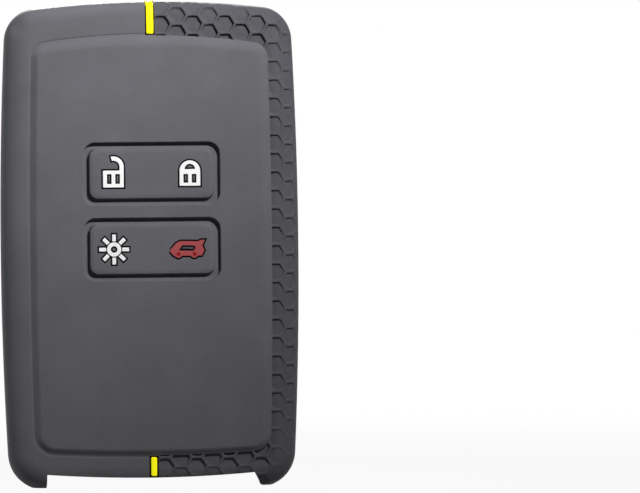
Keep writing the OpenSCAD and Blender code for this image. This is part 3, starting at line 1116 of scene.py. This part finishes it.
    def build(self) -> bpy.types.Object:
        """Build the sleeve.

        Returns:
            The finished mesh.
        """
        s = self.sizes
        sleeve = self.shell().object("sleeve_shell")
        skin = s.grip_zone()
        carve(skin, s.body_form(s.grip_t - self.grip_overlap))
        carve(sleeve, skin)
        carve(sleeve, self.pocket())
        inset, y = rim(s.window_bevel, s.back, -1, 5)
        window = rounded_profile(s.window, s.window_r, 8, s.window_z)
        carve(sleeve, loft(window.rings(np.append([0.0], inset), np.append([0.0], y))))
        for height in s.pads_z:
            inset, y = rim(self.rim_r, s.face, 1)
            opening = rounded_profile(rectangle(s.opening_w, s.opening_h), s.opening_r, 10, height)
            rings = opening.rings(np.append(inset[::-1], 0.0), np.append(y[::-1], s.card_front + 1))
            carve(sleeve, loft(rings))
        carve(sleeve, self.front_mouth())
        carve(sleeve, self.back_mouth())
        carve(sleeve, block((-CLEAR, s.back - self.leg_setback, -1), (0, CLEAR, self.back_lip_z)))
        carve(sleeve, block([-CLEAR] * 3, (CLEAR, CLEAR, 0)))
        for channel in StripeSet(s).channels():
            carve(sleeve, channel)
        soften(sleeve, 30)
        return sleeve


@dataclass
class StripeSet:
    """The bright stripes over the crown, under the window and under the panel."""

    sizes: Sizes
    width: float = 1.45
    front_width: float = 1.2
    rise: float = 0.15
    end_gap: float = 0.4
    side_gap: float = 0.3
    front_low_z: float = 2.4
    rear_low_z: float = 5.7
    crown: float = 0.13
    end_steps: tuple[float, ...] = (0.0, 0.12, 0.3)
    end_sizes: tuple[float, ...] = (0.78, 0.93)

    @property
    def crest_front_z(self) -> float:
        """Lower end of the crest stripe on the front."""
        s = self.sizes
        return s.panel.top + s.panel_cove + self.end_gap

    @property
    def window_top_z(self) -> float:
        """Lower end of the crest stripe on the back."""
        s = self.sizes
        return s.window_z + s.window_h / 2 + s.window_bevel + self.end_gap

    @property
    def window_low_z(self) -> float:
        """Upper end of the rear stripe."""
        s = self.sizes
        return s.window_z - s.window_h / 2 - s.window_bevel - self.end_gap

    @property
    def front_top_z(self) -> float:
        """Upper end of the front stripe."""
        s = self.sizes
        return s.panel.bottom - s.panel_cove - self.end_gap

    def crest_path(self, front_z: float, back_z: float) -> tuple[np.ndarray, np.ndarray]:
        """Follow the body's section from the front up over the crown and down the back.

        Straight up, round the front edge with its power e, a quarter round behind, and straight
        down. The outward normal leans back by the angle whose tangent is tan(a)^(2 - e).

        Args:
            front_z: Where it starts on the front.
            back_z: Where it ends on the back.

        Returns:
            Places and normals, both count by 3.
        """
        s = self.sizes
        a = np.radians(np.linspace(0, 90, 19))
        b = np.radians(np.linspace(90, 0, 15))
        top = s.body.top
        e = s.crown_power
        back_c = np.array([s.back - s.back_round, top - s.back_round])
        r = s.front_round
        front = np.stack([s.front + r * (1 - np.cos(a) ** e), top - r + r * np.sin(a) ** e], -1)
        lean = np.arctan2(np.sin(a) ** (2 - e), np.cos(a) ** (2 - e))
        back = back_c + s.back_round * np.stack([np.cos(b), np.sin(b)], -1)
        steps = np.array(self.end_steps)
        start = np.stack([np.full_like(steps, s.front), front_z + steps], -1)
        tail = np.append(np.linspace(top - s.back_round, back_z, 14)[1:-1], back_z + steps[::-1])
        tail = np.stack([np.full_like(tail, s.back), tail], -1)
        path = np.concatenate([start, front, back, tail])
        normal = np.concatenate(
            [
                np.tile([-1.0, 0.0], (len(start), 1)),
                np.stack([-np.cos(lean), np.sin(lean)], -1),
                np.stack([np.cos(b), np.sin(b)], -1),
                np.tile([1.0, 0.0], (len(tail), 1)),
            ]
        )
        zero = np.zeros((len(path), 1))
        return np.concatenate([zero, path], 1), np.concatenate([zero, normal], 1)

    def section(self, width: float, top: float, bottom: float, crown: float) -> np.ndarray:
        """Return a stripe's closed section, with a gently crowned top and rounded shoulders.

        Height = top - crown * (2x / width) to the fourth power.

        Args:
            width: Its width.
            top: Height of its top over the body's surface.
            bottom: Height of its underside.
            crown: How far the top's edges drop.

        Returns:
            The profile as width and height.
        """
        x = np.linspace(1, -1, 13)
        upper = np.stack([x * width / 2, top - crown * x**4], -1)
        return np.concatenate([[[-width / 2, bottom], [width / 2, bottom]], upper])

    def straight(self, y: float, way: int, z0: float, z1: float) -> tuple[np.ndarray, np.ndarray]:
        """Return a straight upright path on a face and its normals.

        Args:
            y: Place of the face.
            way: -1 on the front, 1 on the back.
            z0: Lower end.
            z1: Upper end.

        Returns:
            Places and normals.
        """
        steps = np.array(self.end_steps)
        z = np.linspace(z0 + steps[-1], z1 - steps[-1], 8)
        z = np.concatenate([z0 + steps[:-1], z, z1 - steps[-2::-1]])
        if way > 0:
            z = z[::-1]
        path = np.stack([np.zeros_like(z), np.full_like(z, y), z], -1)
        return path, np.tile([0.0, float(way), 0.0], (len(z), 1))

    def shrink(self, count: int) -> np.ndarray:
        """Return the profile's size along a path, a little smaller at both ends.

        Args:
            count: Places along the path.

        Returns:
            The size at each place, as a share.
        """
        size = np.ones(count)
        for k, share in enumerate(self.end_sizes):
            size[[k, -1 - k]] = share
        return size

    def paths(self, gap: float = 0.0) -> dict[str, tuple[np.ndarray, np.ndarray]]:
        """Lay out the path and normals of each stripe.

        Args:
            gap: How much longer they are at each end.

        Returns:
            Paths and normals by the node's name.
        """
        s = self.sizes
        low, high = self.front_low_z - gap, self.front_top_z + gap
        return {
            "crest_stripe": self.crest_path(self.crest_front_z - gap, self.window_top_z - gap),
            "rear_stripe": self.straight(s.back, 1, self.rear_low_z - gap, self.window_low_z + gap),
            "front_stripe": self.straight(s.front, -1, low, high),
        }

    def channels(self) -> list[Solid]:
        """Build the cutters of the channels that the stripes lie in.

        Returns:
            The closed solids.
        """
        s = self.sizes
        section = self.section(2 * s.channel_half, 1.0, -s.channel_depth, 0.0)
        paths = self.paths(self.side_gap).values()
        return [sweep(path, out, section, np.ones(len(path))) for path, out in paths]

    def build(self) -> dict[str, bpy.types.Object]:
        """Build the stripes.

        Returns:
            The objects by their node's name.
        """
        made = {}
        for node, (path, out) in self.paths().items():
            width = self.front_width if node == "front_stripe" else self.width
            section = self.section(width, self.rise, -self.sizes.channel_depth, self.crown)
            piece = sweep(path, out, section, self.shrink(len(path))).object(node + "_bar")
            soften(piece, 35)
            made[node] = piece
        return made


# Points round each ring of a cell, one on each corner and one between
CELL_POINTS = 12

# Places, and the share at each
Line = tuple[tuple[float, ...], tuple[float, ...]]


@dataclass(frozen=True)
class Face:
    """One face of the body and the lattice of cells on it.

    The face has its rounded edge's radius, its plane along Y, and the way into the body, 1 or -1.
    The lattice has a pitch along Z, a step from column to column, and the middle of one cell.
    """

    name: str
    edge_r: float
    plane: float
    way: int
    pitch: float
    column: float
    first_x: float
    row_z: float


@dataclass
class Honeycomb:
    """The honeycomb skin: a lattice laid out flat and folded over the body's rounded edge.

    A line gives shares at places, with even runs between. The cell's rings have a level, their
    size as a share, and a drop, as a share of the depth.
    """

    sizes: Sizes
    depth: float = 0.65
    seam_y: float = 0.075
    crown_side: Line = ((0.0, 1 / 1.3), (0.0, 1.0))
    crown_start: Line = ((-0.3, 0.0), (0.0, 1.0))
    crown_fade: Line = ((0.0, 3.6, 4.7), (1.0, 0.85, 0.0))
    side_fade: Line = ((-1.5, 0.0, 1.5, 2.4, 3.6, 5.5), (1.0, 0.75, 0.6, 0.75, 0.7, 0.0))
    low_start: Line = ((0.0, 0.5), (0.0, 1.0))
    low_loss: Line = ((7.0, 15.0), (0.6, 0.0))
    leg_start: Line = ((24.5, 26.0), (0.0, 1.0))
    leg_loss: Line = ((9.0, 20.05), (0.55, 0.1925))
    levels: tuple[float, ...] = (1.0, 0.93, 0.885, 0.83, 0.8, 0.42, 0.0)
    drops: tuple[float, ...] = (0.0, 0.02, 0.14, 0.86, 1.0, 0.97, 0.95)
    corner_share: float = 0.965
    corner_run: float = 0.12

    @property
    def front(self) -> Face:
        """The front face."""
        s = self.sizes
        lattice = {"pitch": 3.945, "column": 3.448, "first_x": 2.31, "row_z": 99.0}
        return Face("front", s.front_round, s.front, 1, **lattice)

    @property
    def back(self) -> Face:
        """The back face."""
        s = self.sizes
        lattice = {"pitch": 4.13, "column": 3.41, "first_x": 1.78, "row_z": 69.1}
        return Face("back", s.back_round, s.back, -1, **lattice)

    def reach(self, p: np.ndarray, centre: np.ndarray, r: float) -> tuple[np.ndarray, np.ndarray]:
        """Measure how far points lie past a circle, and the way out from its middle.

        Args:
            p: Flat points, count by 2.
            centre: Middle of the circle.
            r: Its radius.

        Returns:
            Distances past it, and unit vectors.
        """
        v = p - centre
        far = np.linalg.norm(v, axis=1)
        return far - r, v / far[:, None]

    def fold_of(self, p: np.ndarray, edge_r: float) -> tuple[np.ndarray, np.ndarray]:
        """Measure how far points of the pattern lie past the flat face, and which way they fold.

        The flat face ends on the body's outline drawn in by the edge's radius. The nearest of its
        side, crown and foot counts, and its corner's arc inside the corner's own sector.

        Args:
            p: Flat points, count by 2.
            edge_r: Radius of the rounded edge.

        Returns:
            Distances past the flat face, and unit vectors.
        """
        body = self.sizes.body
        arcs = [
            self.reach(p, body.side, body.side_r - edge_r),
            self.reach(p, body.crown, body.crown_r - edge_r),
            self.reach(p, body.foot, body.foot_r - edge_r),
        ]
        past = np.stack([a[0] for a in arcs])
        best = past.argmax(0)
        far = past.max(0)
        way = np.stack([a[1] for a in arcs])[best, np.arange(len(p))]
        sectors = [
            (body.high, body.corner_r, angle_of(body.high - body.side), angle_of(body.high - body.crown)),
            (body.low, body.low_r, angle_of(body.low - body.foot), angle_of(body.low - body.side)),
        ]
        for corner, r, a0, a1 in sectors:
            v = p - corner
            turn = np.arctan2(v[:, 1], v[:, 0])
            inside = (turn > a0) & (turn < a1)
            corner_far, corner_way = self.reach(p, corner, r - edge_r)
            far = np.where(inside, corner_far, far)
            way = np.where(inside[:, None], corner_way, way)
        return far, way

    def folded(self, p: np.ndarray, height: np.ndarray, face: Face) -> np.ndarray:
        """Fold points of the pattern over the rounded edge.

        Past the flat face, a point goes along the edge's curve by its distance, which a table of
        the curve's length gives, and after it straight on along Y. Its height is laid off along
        the surface's normal, which leans by the angle whose tangent is tan(a)^(2 - e).

        Args:
            p: Flat points, count by 2.
            height: Height of each over the surface.
            face: The face.

        Returns:
            Points, count by 3.
        """
        r = face.edge_r
        far, out = self.fold_of(p, r)
        past = np.maximum(far, 0)
        e = self.sizes.edge_power(out[:, 1])[:, None] if face.way > 0 else np.ones((len(p), 1))
        a = np.linspace(0, math.pi / 2, 37)[None]
        side, deep = r * np.sin(a) ** e, r * (1 - np.cos(a) ** e)
        run = np.hypot(np.diff(side), np.diff(deep)).cumsum(1)
        run = np.concatenate([np.zeros((len(p), 1)), run], 1)
        k = np.clip((run <= past[:, None]).sum(1) - 1, 0, a.size - 2)
        row = np.arange(len(p))
        share = np.clip((past - run[row, k]) / (run[row, k + 1] - run[row, k]), 0, 1)
        turn = a[0, k] + share * a[0, 1]
        power = e[:, 0]
        beyond = np.maximum(past - run[:, -1], 0)
        lean = np.arctan2(np.sin(turn) ** (2 - power), np.cos(turn) ** (2 - power))
        side = r * np.sin(turn) ** power + height * np.sin(lean)
        y = face.plane + face.way * (r * (1 - np.cos(turn) ** power) - height * np.cos(lean) + beyond)
        flat = p + (side - past)[:, None] * out
        return np.stack([flat[:, 0], y, flat[:, 1]], -1)

    def fade(self, p: np.ndarray, edge_r: float) -> np.ndarray:
        """Work out how much of their depth the cells keep at points of the pattern.

        The share is read off a line by the distance past the flat face, one for the crown and one
        for the sides, and it is less low down and beside the leg.

        Args:
            p: Flat points, count by 2.
            edge_r: Radius of the rounded edge.

        Returns:
            Shares from 0 to 1.
        """
        far, out = self.fold_of(p, edge_r)
        low = np.interp(p[:, 1], *self.low_loss) * np.interp(far, *self.low_start)
        leg = np.interp(p[:, 1], *self.leg_loss) * np.interp(p[:, 0], *self.leg_start)
        side = np.interp(far, *self.side_fade) * (1 - low) * (1 - leg)
        crown = np.interp(out[:, 1], *self.crown_side) * np.interp(far, *self.crown_start)
        return crown * np.interp(far, *self.crown_fade) + (1 - crown) * side

    def centres(self, face: Face) -> np.ndarray:
        """Lay out the middles of the cells that reach into the skin.

        Args:
            face: The face.

        Returns:
            Flat points, count by 2.
        """
        c, r = np.meshgrid(np.arange(-1, 12), np.arange(-30, 30), indexing="ij")
        x = face.first_x + face.column * c
        z = face.row_z + face.pitch * (c % 2) / 2 + face.pitch * r
        centres = np.stack([x, z], -1).reshape(-1, 2)
        far, _ = self.fold_of(centres, face.edge_r)
        # The rounded edge is under 1.8 radii long, and the skin goes on to the seam
        cell = 1.2 * face.column / 1.5
        limit = face.edge_r * 1.8 + abs(face.plane + face.way * face.edge_r - self.seam_y) + cell
        return centres[(far < limit) & (centres[:, 1] > -3)]

    def cell(self, face: Face) -> tuple[np.ndarray, np.ndarray]:
        """Lay out one cell as rings round its middle, and the middle last.

        The rings are its ribs' crests, the wall's top and foot, and its floor. Below the crests
        the corners are drawn in a little.

        Args:
            face: The face.

        Returns:
            Flat points about the middle, and the drop at each.
        """
        corner = np.radians(60 * np.arange(6))
        side, tall = face.column / 1.5, face.pitch / math.sqrt(3)
        tips = np.stack([side * np.cos(corner), tall * np.sin(corner)], -1)
        border = np.stack([tips, (tips + np.roll(tips, -1, 0)) / 2], 1).reshape(CELL_POINTS, 2)
        scale = np.array(self.levels[:-1])[:, None]
        drawn = np.tile([self.corner_share, 1.0], 6) - 1
        soft = 1 + drawn * np.clip((1 - scale) / self.corner_run, 0, 1)
        rings = scale[..., None] * soft[..., None] * border
        drop = np.repeat(self.drops[:-1], CELL_POINTS)
        return np.concatenate([rings.reshape(-1, 2), [[0.0, 0.0]]]), np.append(drop, self.drops[-1])

    def cell_faces(self) -> tuple[np.ndarray, np.ndarray]:
        """Join one cell's rings by quads, and its last ring with the middle by a fan.

        Returns:
            The quads and the fan's triangles, as places in the cell's points.
        """
        n, rings = CELL_POINTS, len(self.levels) - 1
        k, i = np.meshgrid(np.arange(rings - 1), np.arange(n), indexing="ij")
        j = (i + 1) % n
        quads = np.stack([k * n + i, k * n + j, (k + 1) * n + j, (k + 1) * n + i], -1)
        last = (rings - 1) * n + np.arange(n)
        return quads.reshape(-1, 4), np.stack([last, np.roll(last, -1), np.full(n, rings * n)], -1)

    def skirt(self, quads: np.ndarray, fans: np.ndarray, count: int) -> np.ndarray:
        """Join a sheet's open edges, which only one of its faces has, to those of its underside.

        Args:
            quads: The sheet's quads.
            fans: Its triangles.
            count: How much higher the underside's points are numbered.

        Returns:
            The quads between the two.
        """
        sides = [quads[:, [k, (k + 1) % 4]] for k in range(4)]
        sides += [fans[:, [k, (k + 1) % 3]] for k in range(3)]
        edges = np.concatenate(sides)
        code = edges.min(1) * count + edges.max(1)
        _, first, times = np.unique(code, return_index=True, return_counts=True)
        a, b = edges[first[times == 1]].T
        return np.stack([b, a, a + count, b + count], -1)

    def sheet(self, face: Face) -> Solid:
        """Build the skin over one face as a closed sheet.

        Cells share the points on their crests, found by rounding to 1 / 500 mm. The surface drops
        by depth * the ring's drop * the fade.

        Args:
            face: The face.

        Returns:
            The closed solid, larger than the zone that it is trimmed to.
        """
        centres = self.centres(face)
        pattern, drop = self.cell(face)
        points = (centres[:, None] + pattern[None]).reshape(-1, 2)
        keys = np.round(points * 500).astype(np.int64)
        _, index, inverse = np.unique(keys, axis=0, return_index=True, return_inverse=True)
        shift = (np.arange(len(centres)) * len(pattern))[:, None, None]
        shared = inverse.reshape(-1)
        quads, fans = (shared[(f[None] + shift).reshape(-1, f.shape[1])] for f in self.cell_faces())
        flat, share = points[index], np.tile(drop, len(centres))[index]
        top = self.folded(flat, -self.depth * share * self.fade(flat, face.edge_r), face)
        under = self.folded(flat, np.full(len(flat), -self.sizes.grip_t), face)
        count = len(flat)
        skirt = self.skirt(quads, fans, count)
        quads = np.concatenate([quads, quads[:, ::-1] + count, skirt])
        fans = np.concatenate([fans, fans[:, ::-1] + count])
        if face.way < 0:
            quads, fans = quads[:, ::-1], fans[:, ::-1]
        return Solid(np.concatenate([top, under]), quads.tolist() + fans.tolist())

    def build(self, face: Face) -> bpy.types.Object:
        """Build the skin over one face, trimmed to its zone.

        Args:
            face: The face.

        Returns:
            The finished mesh.
        """
        s = self.sizes
        skin = self.sheet(face).object(f"honeycomb_{face.name}")
        carve(skin, s.grip_zone(), Cut.KEEP)
        y0, y1 = sorted((-face.way * CLEAR, self.seam_y))
        carve(skin, block((-CLEAR, y0, -CLEAR), (CLEAR, y1, CLEAR)), Cut.KEEP)
        carve(skin, Sleeve(s).front_mouth())
        carve(skin, Sleeve(s).back_mouth())
        carve(skin, block([-CLEAR] * 3, (CLEAR, CLEAR, 0)))
        soften(skin, 62)
        return skin


@dataclass(frozen=True)
class Symbol:
    """A symbol on a pad: its node, its finish, and how far it is moved along X."""

    node: str
    finish: Finish
    shift: float = 0.0


@dataclass
class ButtonPad:
    """A rocking button pad with its groove's web and its symbols."""

    sizes: Sizes
    name: str
    height: float
    symbols: tuple[Symbol, ...]
    width: float = 26.9
    tall: float = 10.9
    corner_r: float = 1.9
    edge_r: float = 0.5
    edge_drop: float = 0.03
    ledge_in: tuple[float, ...] = (0.5, 0.22, 0.12)
    ledge_drop: tuple[float, ...] = (0.0, 0.0, 0.05)
    back_edge: float = 0.25
    thickness: float = 1.8
    stud_x: float = 8.2045
    stud_r: float = 2.5
    stud_tip_r: float = 0.3
    stud_gap: float = 0.2
    symbol_margin: float = 0.5
    symbol_depth: float = 0.95
    symbol_edge: float = 0.04
    web_depth: float = 1.0
    web_t: float = 0.5
    web_in: tuple[float, float] = (-0.1, 1.27)
    web_dip: float = 0.12

    def plate(self) -> bpy.types.Object:
        """Build the pad with a rounded face edge, with its CAD solid's studs and symbol pockets.

        The face's rings are the outline drawn in by r (1 - cos a), at r (1 - sin a) under the face,
        with a faint groove between that rounded edge and the flat face.

        Returns:
            The mesh.
        """
        a = np.radians(np.linspace(80, 0, 7))
        ledge = self.edge_r + np.array(self.ledge_in)
        inset = np.concatenate([ledge, self.edge_r * (1 - np.cos(a)), [0.0, self.back_edge]])
        edge = self.edge_drop + self.edge_r * (1 - np.sin(a))
        behind = [self.thickness - self.back_edge, self.thickness]
        y = self.sizes.face + np.concatenate([self.ledge_drop, edge, behind])
        outline = rounded_profile(rectangle(self.width, self.tall), self.corner_r, 10, self.height)
        plate = loft(outline.rings(inset, y)).object(f"{self.name}_pad_face")
        for x in (-self.stud_x, self.stud_x):
            carve(plate, self.stud(x), Cut.JOIN)
        for pocket in self.pockets():
            carve(plate, pocket)
        soften(plate, 38)
        return plate

    def stud(self, x: float) -> Solid:
        """Build one stud behind the pad, a round post with a rounded tip.

        Args:
            x: Its place along X.

        Returns:
            The closed solid.
        """
        s = self.sizes
        turn = np.linspace(0, 2 * math.pi, 32, endpoint=False)
        ways = np.stack([np.cos(turn), np.sin(turn)], -1)
        post = Profile(np.tile([x, self.height], (len(turn), 1)), np.full(len(turn), self.stud_r), ways)
        a = np.radians(np.linspace(0, 75, 5))
        inset = np.append([0.0], self.stud_tip_r * (1 - np.cos(a)))
        tip = s.card_front - self.stud_gap - self.stud_tip_r * (1 - np.sin(a))
        return loft(post.rings(inset, np.append([s.face + 1.0], tip)))

    def pockets(self) -> list[bpy.types.Object]:
        """Build the symbol pockets, each a block round its symbol less the pad's own CAD solid.

        Returns:
            The pockets.
        """
        made = []
        for symbol in self.symbols:
            low, high = (np.array(corner) / MM + [symbol.shift, 0, 0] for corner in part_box(symbol.node))
            low = low - self.symbol_margin
            high = high + self.symbol_margin
            low[1] = self.sizes.face - self.symbol_margin
            high[1] = self.sizes.face + self.symbol_depth
            made.append(block(low, high).object("pocket"))
            carve(made[-1], copied(f"{self.name}_pad", "pad_copy", symbol.shift))
        return made

    def web(self) -> Solid:
        """Build the thin web as a trough round the pad.

        Its face is a shallow hollow, depth + dip * sin of the place across it, and its two sides
        run a little into the sleeve and the pad, so that no light comes through.

        Returns:
            The closed ring.
        """
        s = self.sizes
        outline = rounded_profile(rectangle(s.opening_w, s.opening_h), s.opening_r, 10, self.height)
        share = np.linspace(0, 1, 11)
        across = self.web_in[0] + (self.web_in[1] - self.web_in[0]) * share
        under = np.full(len(share), self.web_depth + self.web_t)
        face = self.web_depth + self.web_dip * np.sin(np.pi * share)
        inset = np.concatenate([across, across[::-1]])
        y = s.face + np.concatenate([face, under])
        return loft(outline.rings(inset[::-1], y[::-1]), hoop=True)

    def inlay(self, symbol: Symbol) -> bpy.types.Object:
        """Build a symbol, its CAD solid with finely rounded edges.

        Args:
            symbol: The symbol.

        Returns:
            The mesh.
        """
        inlay = copied(symbol.node, symbol.node + "_face", symbol.shift)
        edge = {"width": self.symbol_edge * MM, "segments": 2}
        modify(inlay, "BEVEL", limit_method="ANGLE", angle_limit=math.radians(35), **edge)
        soften(inlay, 50)
        return inlay

    def build(self, wardrobe: Wardrobe) -> None:
        """Build the pad, its web and its symbols, dress them and let them ride.

        Args:
            wardrobe: Maker of the materials.
        """
        wardrobe.put(self.plate(), Finish.PAD, f"{self.name}_rocker", f"{self.name}_pad")
        web = self.web().object(f"{self.name}_web_trough")
        soften(web, 40)
        wardrobe.put(web, Finish.WEB, f"{self.name}_web_ring", f"{self.name}_web")
        for symbol in self.symbols:
            wardrobe.put(self.inlay(symbol), symbol.finish, f"{self.name}_rocker", symbol.node)


# The studio


@dataclass(frozen=True)
class Lamp:
    """A soft square lamp: its place and aim in metres, power in watts, beam in degrees, and side."""

    name: str
    place: tuple[float, float, float]
    aim: tuple[float, float, float]
    power: float
    spread: float
    size: float = 0.03

    def hang(self) -> None:
        """Hang the lamp, turned to its aim."""
        data = bpy.data.lights.new(self.name, "AREA")
        data.shape = "SQUARE"
        data.size = self.size
        data.energy = self.power
        data.spread = math.radians(self.spread)
        lamp = placed(self.name, data)
        lamp.location = self.place
        beam = Vector(self.aim) - Vector(self.place)
        lamp.rotation_euler = beam.to_track_quat("-Z", "Y").to_euler()


LAMPS = (
    Lamp("front_key", (0.142, -0.273, 0.286), (-0.008, -0.0065, 0.096), 0.1, 40),
    Lamp("back_key", (0.0, 0.31, 0.286), (0.0, 0.0065, 0.096), 0.068, 32),
    Lamp("side_key", (-0.35, 0.0, 0.25), (-0.03, 0.0, 0.09), 0.04, 48),
    Lamp("front_fill", (0.0, -0.9, 0.3), (0.0, 0.0, 0.052), 0.03, 180, 0.5),
    Lamp("back_fill", (0.0, 0.9, 0.3), (0.0, 0.0, 0.052), 0.03, 180, 0.5),
)


@dataclass
class Studio:
    """Floor, world and camera, whose frame is so many millimetres wide at the cover."""

    frame_width: float = 137.4
    distance: float = 1500.0
    sensor: float = 36.0
    yaw: float = 5.0
    pitch: float = 0.5
    roll: float = 0.57
    middle_z: float = 52.0
    middle_px: tuple[float, float] = (149.7, 243.8)
    world: float = 0.025
    floor_half: float = 6.0
    floor_z: float = -0.00005
    floor_share: float = 0.94

    def floor(self) -> None:
        """Lay a pale floor that the camera sees as white, and that keeps the object's shadow.

        It glows by share + (1 - share) * ease of the distance, and lies a hair under the soles.
        """
        mesh = bpy.data.meshes.new("floor")
        corners = [(*corner, self.floor_z) for corner in rectangle(2, 2) * self.floor_half]
        mesh.from_pydata(corners, [], [(0, 1, 2, 3)])
        floor = placed("floor", mesh)
        dress = Dress(bpy.data.materials.new("studio_floor"))
        x, y, _ = dress.part_of(dress.place())
        far = (x * x + y * y).root().ease(0.12, 0.5)
        matt = dress.node("ShaderNodeBsdfDiffuse", {}, {"Color": (0.3, 0.3, 0.3)})
        glow = dress.node("ShaderNodeEmission", {}, {"Color": (1.0, 1.0, 1.0), "Strength": 1.0})
        share = dress.seen() * (self.floor_share + (1 - self.floor_share) * far)
        both = dress.node("ShaderNodeMixShader", {}, {0: share, 1: matt, 2: glow})
        mesh.materials.append(dress.close(both))

    def sky(self) -> None:
        """Set a world that is white to the camera and gives little light."""
        dress = Dress(bpy.data.worlds.new("studio"))
        values = {"Color": (1.0, 1.0, 1.0), "Strength": self.world + (1 - self.world) * dress.seen()}
        bpy.context.scene.world = dress.close(dress.node("ShaderNodeBackground", {}, values))

    def camera(self) -> None:
        """Set the camera in front of the cover, turned a little, as the photograph has it.

        It is aimed past the cover's middle by angles that put that middle on its pixel.
        """
        pixel = self.frame_width / FRAME[0]
        data = bpy.data.cameras.new("camera")
        data.sensor_width = self.sensor
        data.lens = self.sensor * self.distance / self.frame_width
        data.clip_end = 30.0
        camera = placed("camera", data)
        yaw, pitch, roll = (math.radians(angle) for angle in (self.yaw, self.pitch, self.roll))
        dx = (self.middle_px[0] - FRAME[0] / 2) * pixel
        dz = (FRAME[1] / 2 - self.middle_px[1]) * pixel
        turn = math.atan2(dx * math.cos(roll) + dz * math.sin(roll), self.distance)
        tilt = math.atan2(-dx * math.sin(roll) + dz * math.cos(roll), self.distance)
        flat = np.array([-math.sin(yaw), -math.cos(yaw), 0.0]) * math.cos(pitch)
        place = np.array([0.0, 0.0, self.middle_z + math.sin(pitch) * self.distance])
        camera.location = Vector((place + flat * self.distance) * MM)
        view = Euler((math.pi / 2 - pitch - tilt, 0.0, -yaw + turn)).to_matrix()
        spin = Euler((0.0, 0.0, -roll)).to_matrix()
        camera.rotation_euler = (view @ spin).to_euler()
        bpy.context.scene.camera = camera

    def build(self) -> None:
        """Set up the whole studio."""
        self.floor()
        for lamp in LAMPS:
            lamp.hang()
        self.sky()
        self.camera()
        bpy.context.scene.view_settings.view_transform = "Standard"


def main() -> None:
    """Build the cover's pieces in order, dress them and set up the studio."""
    logging.basicConfig(level=logging.INFO, format="%(name)s: %(message)s")
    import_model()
    sizes = Sizes()
    wardrobe = Wardrobe()
    wardrobe.put(Sleeve(sizes).build(), Finish.SHELL, "cover", "sleeve")
    comb = Honeycomb(sizes)
    wardrobe.put(comb.build(comb.front), Finish.GRIP, "cover", "honeycomb_grip")
    wardrobe.put(comb.build(comb.back), Finish.GRIP, "cover")
    for node, stripe in StripeSet(sizes).build().items():
        wardrobe.put(stripe, Finish.YELLOW, "cover", node)
    locks = (Symbol("open_lock_inlay", Finish.WHITE), Symbol("closed_lock_inlay", Finish.WHITE))
    signs = (Symbol("lamp_inlay", Finish.WHITE), Symbol("boot_inlay", Finish.RED, -0.78))
    for name, height, symbols in zip(("upper", "lower"), sizes.pads_z, (locks, signs)):
        ButtonPad(sizes, name, height, symbols).build(wardrobe)
    Studio().build()


if __name__ == "__main__":
    main()
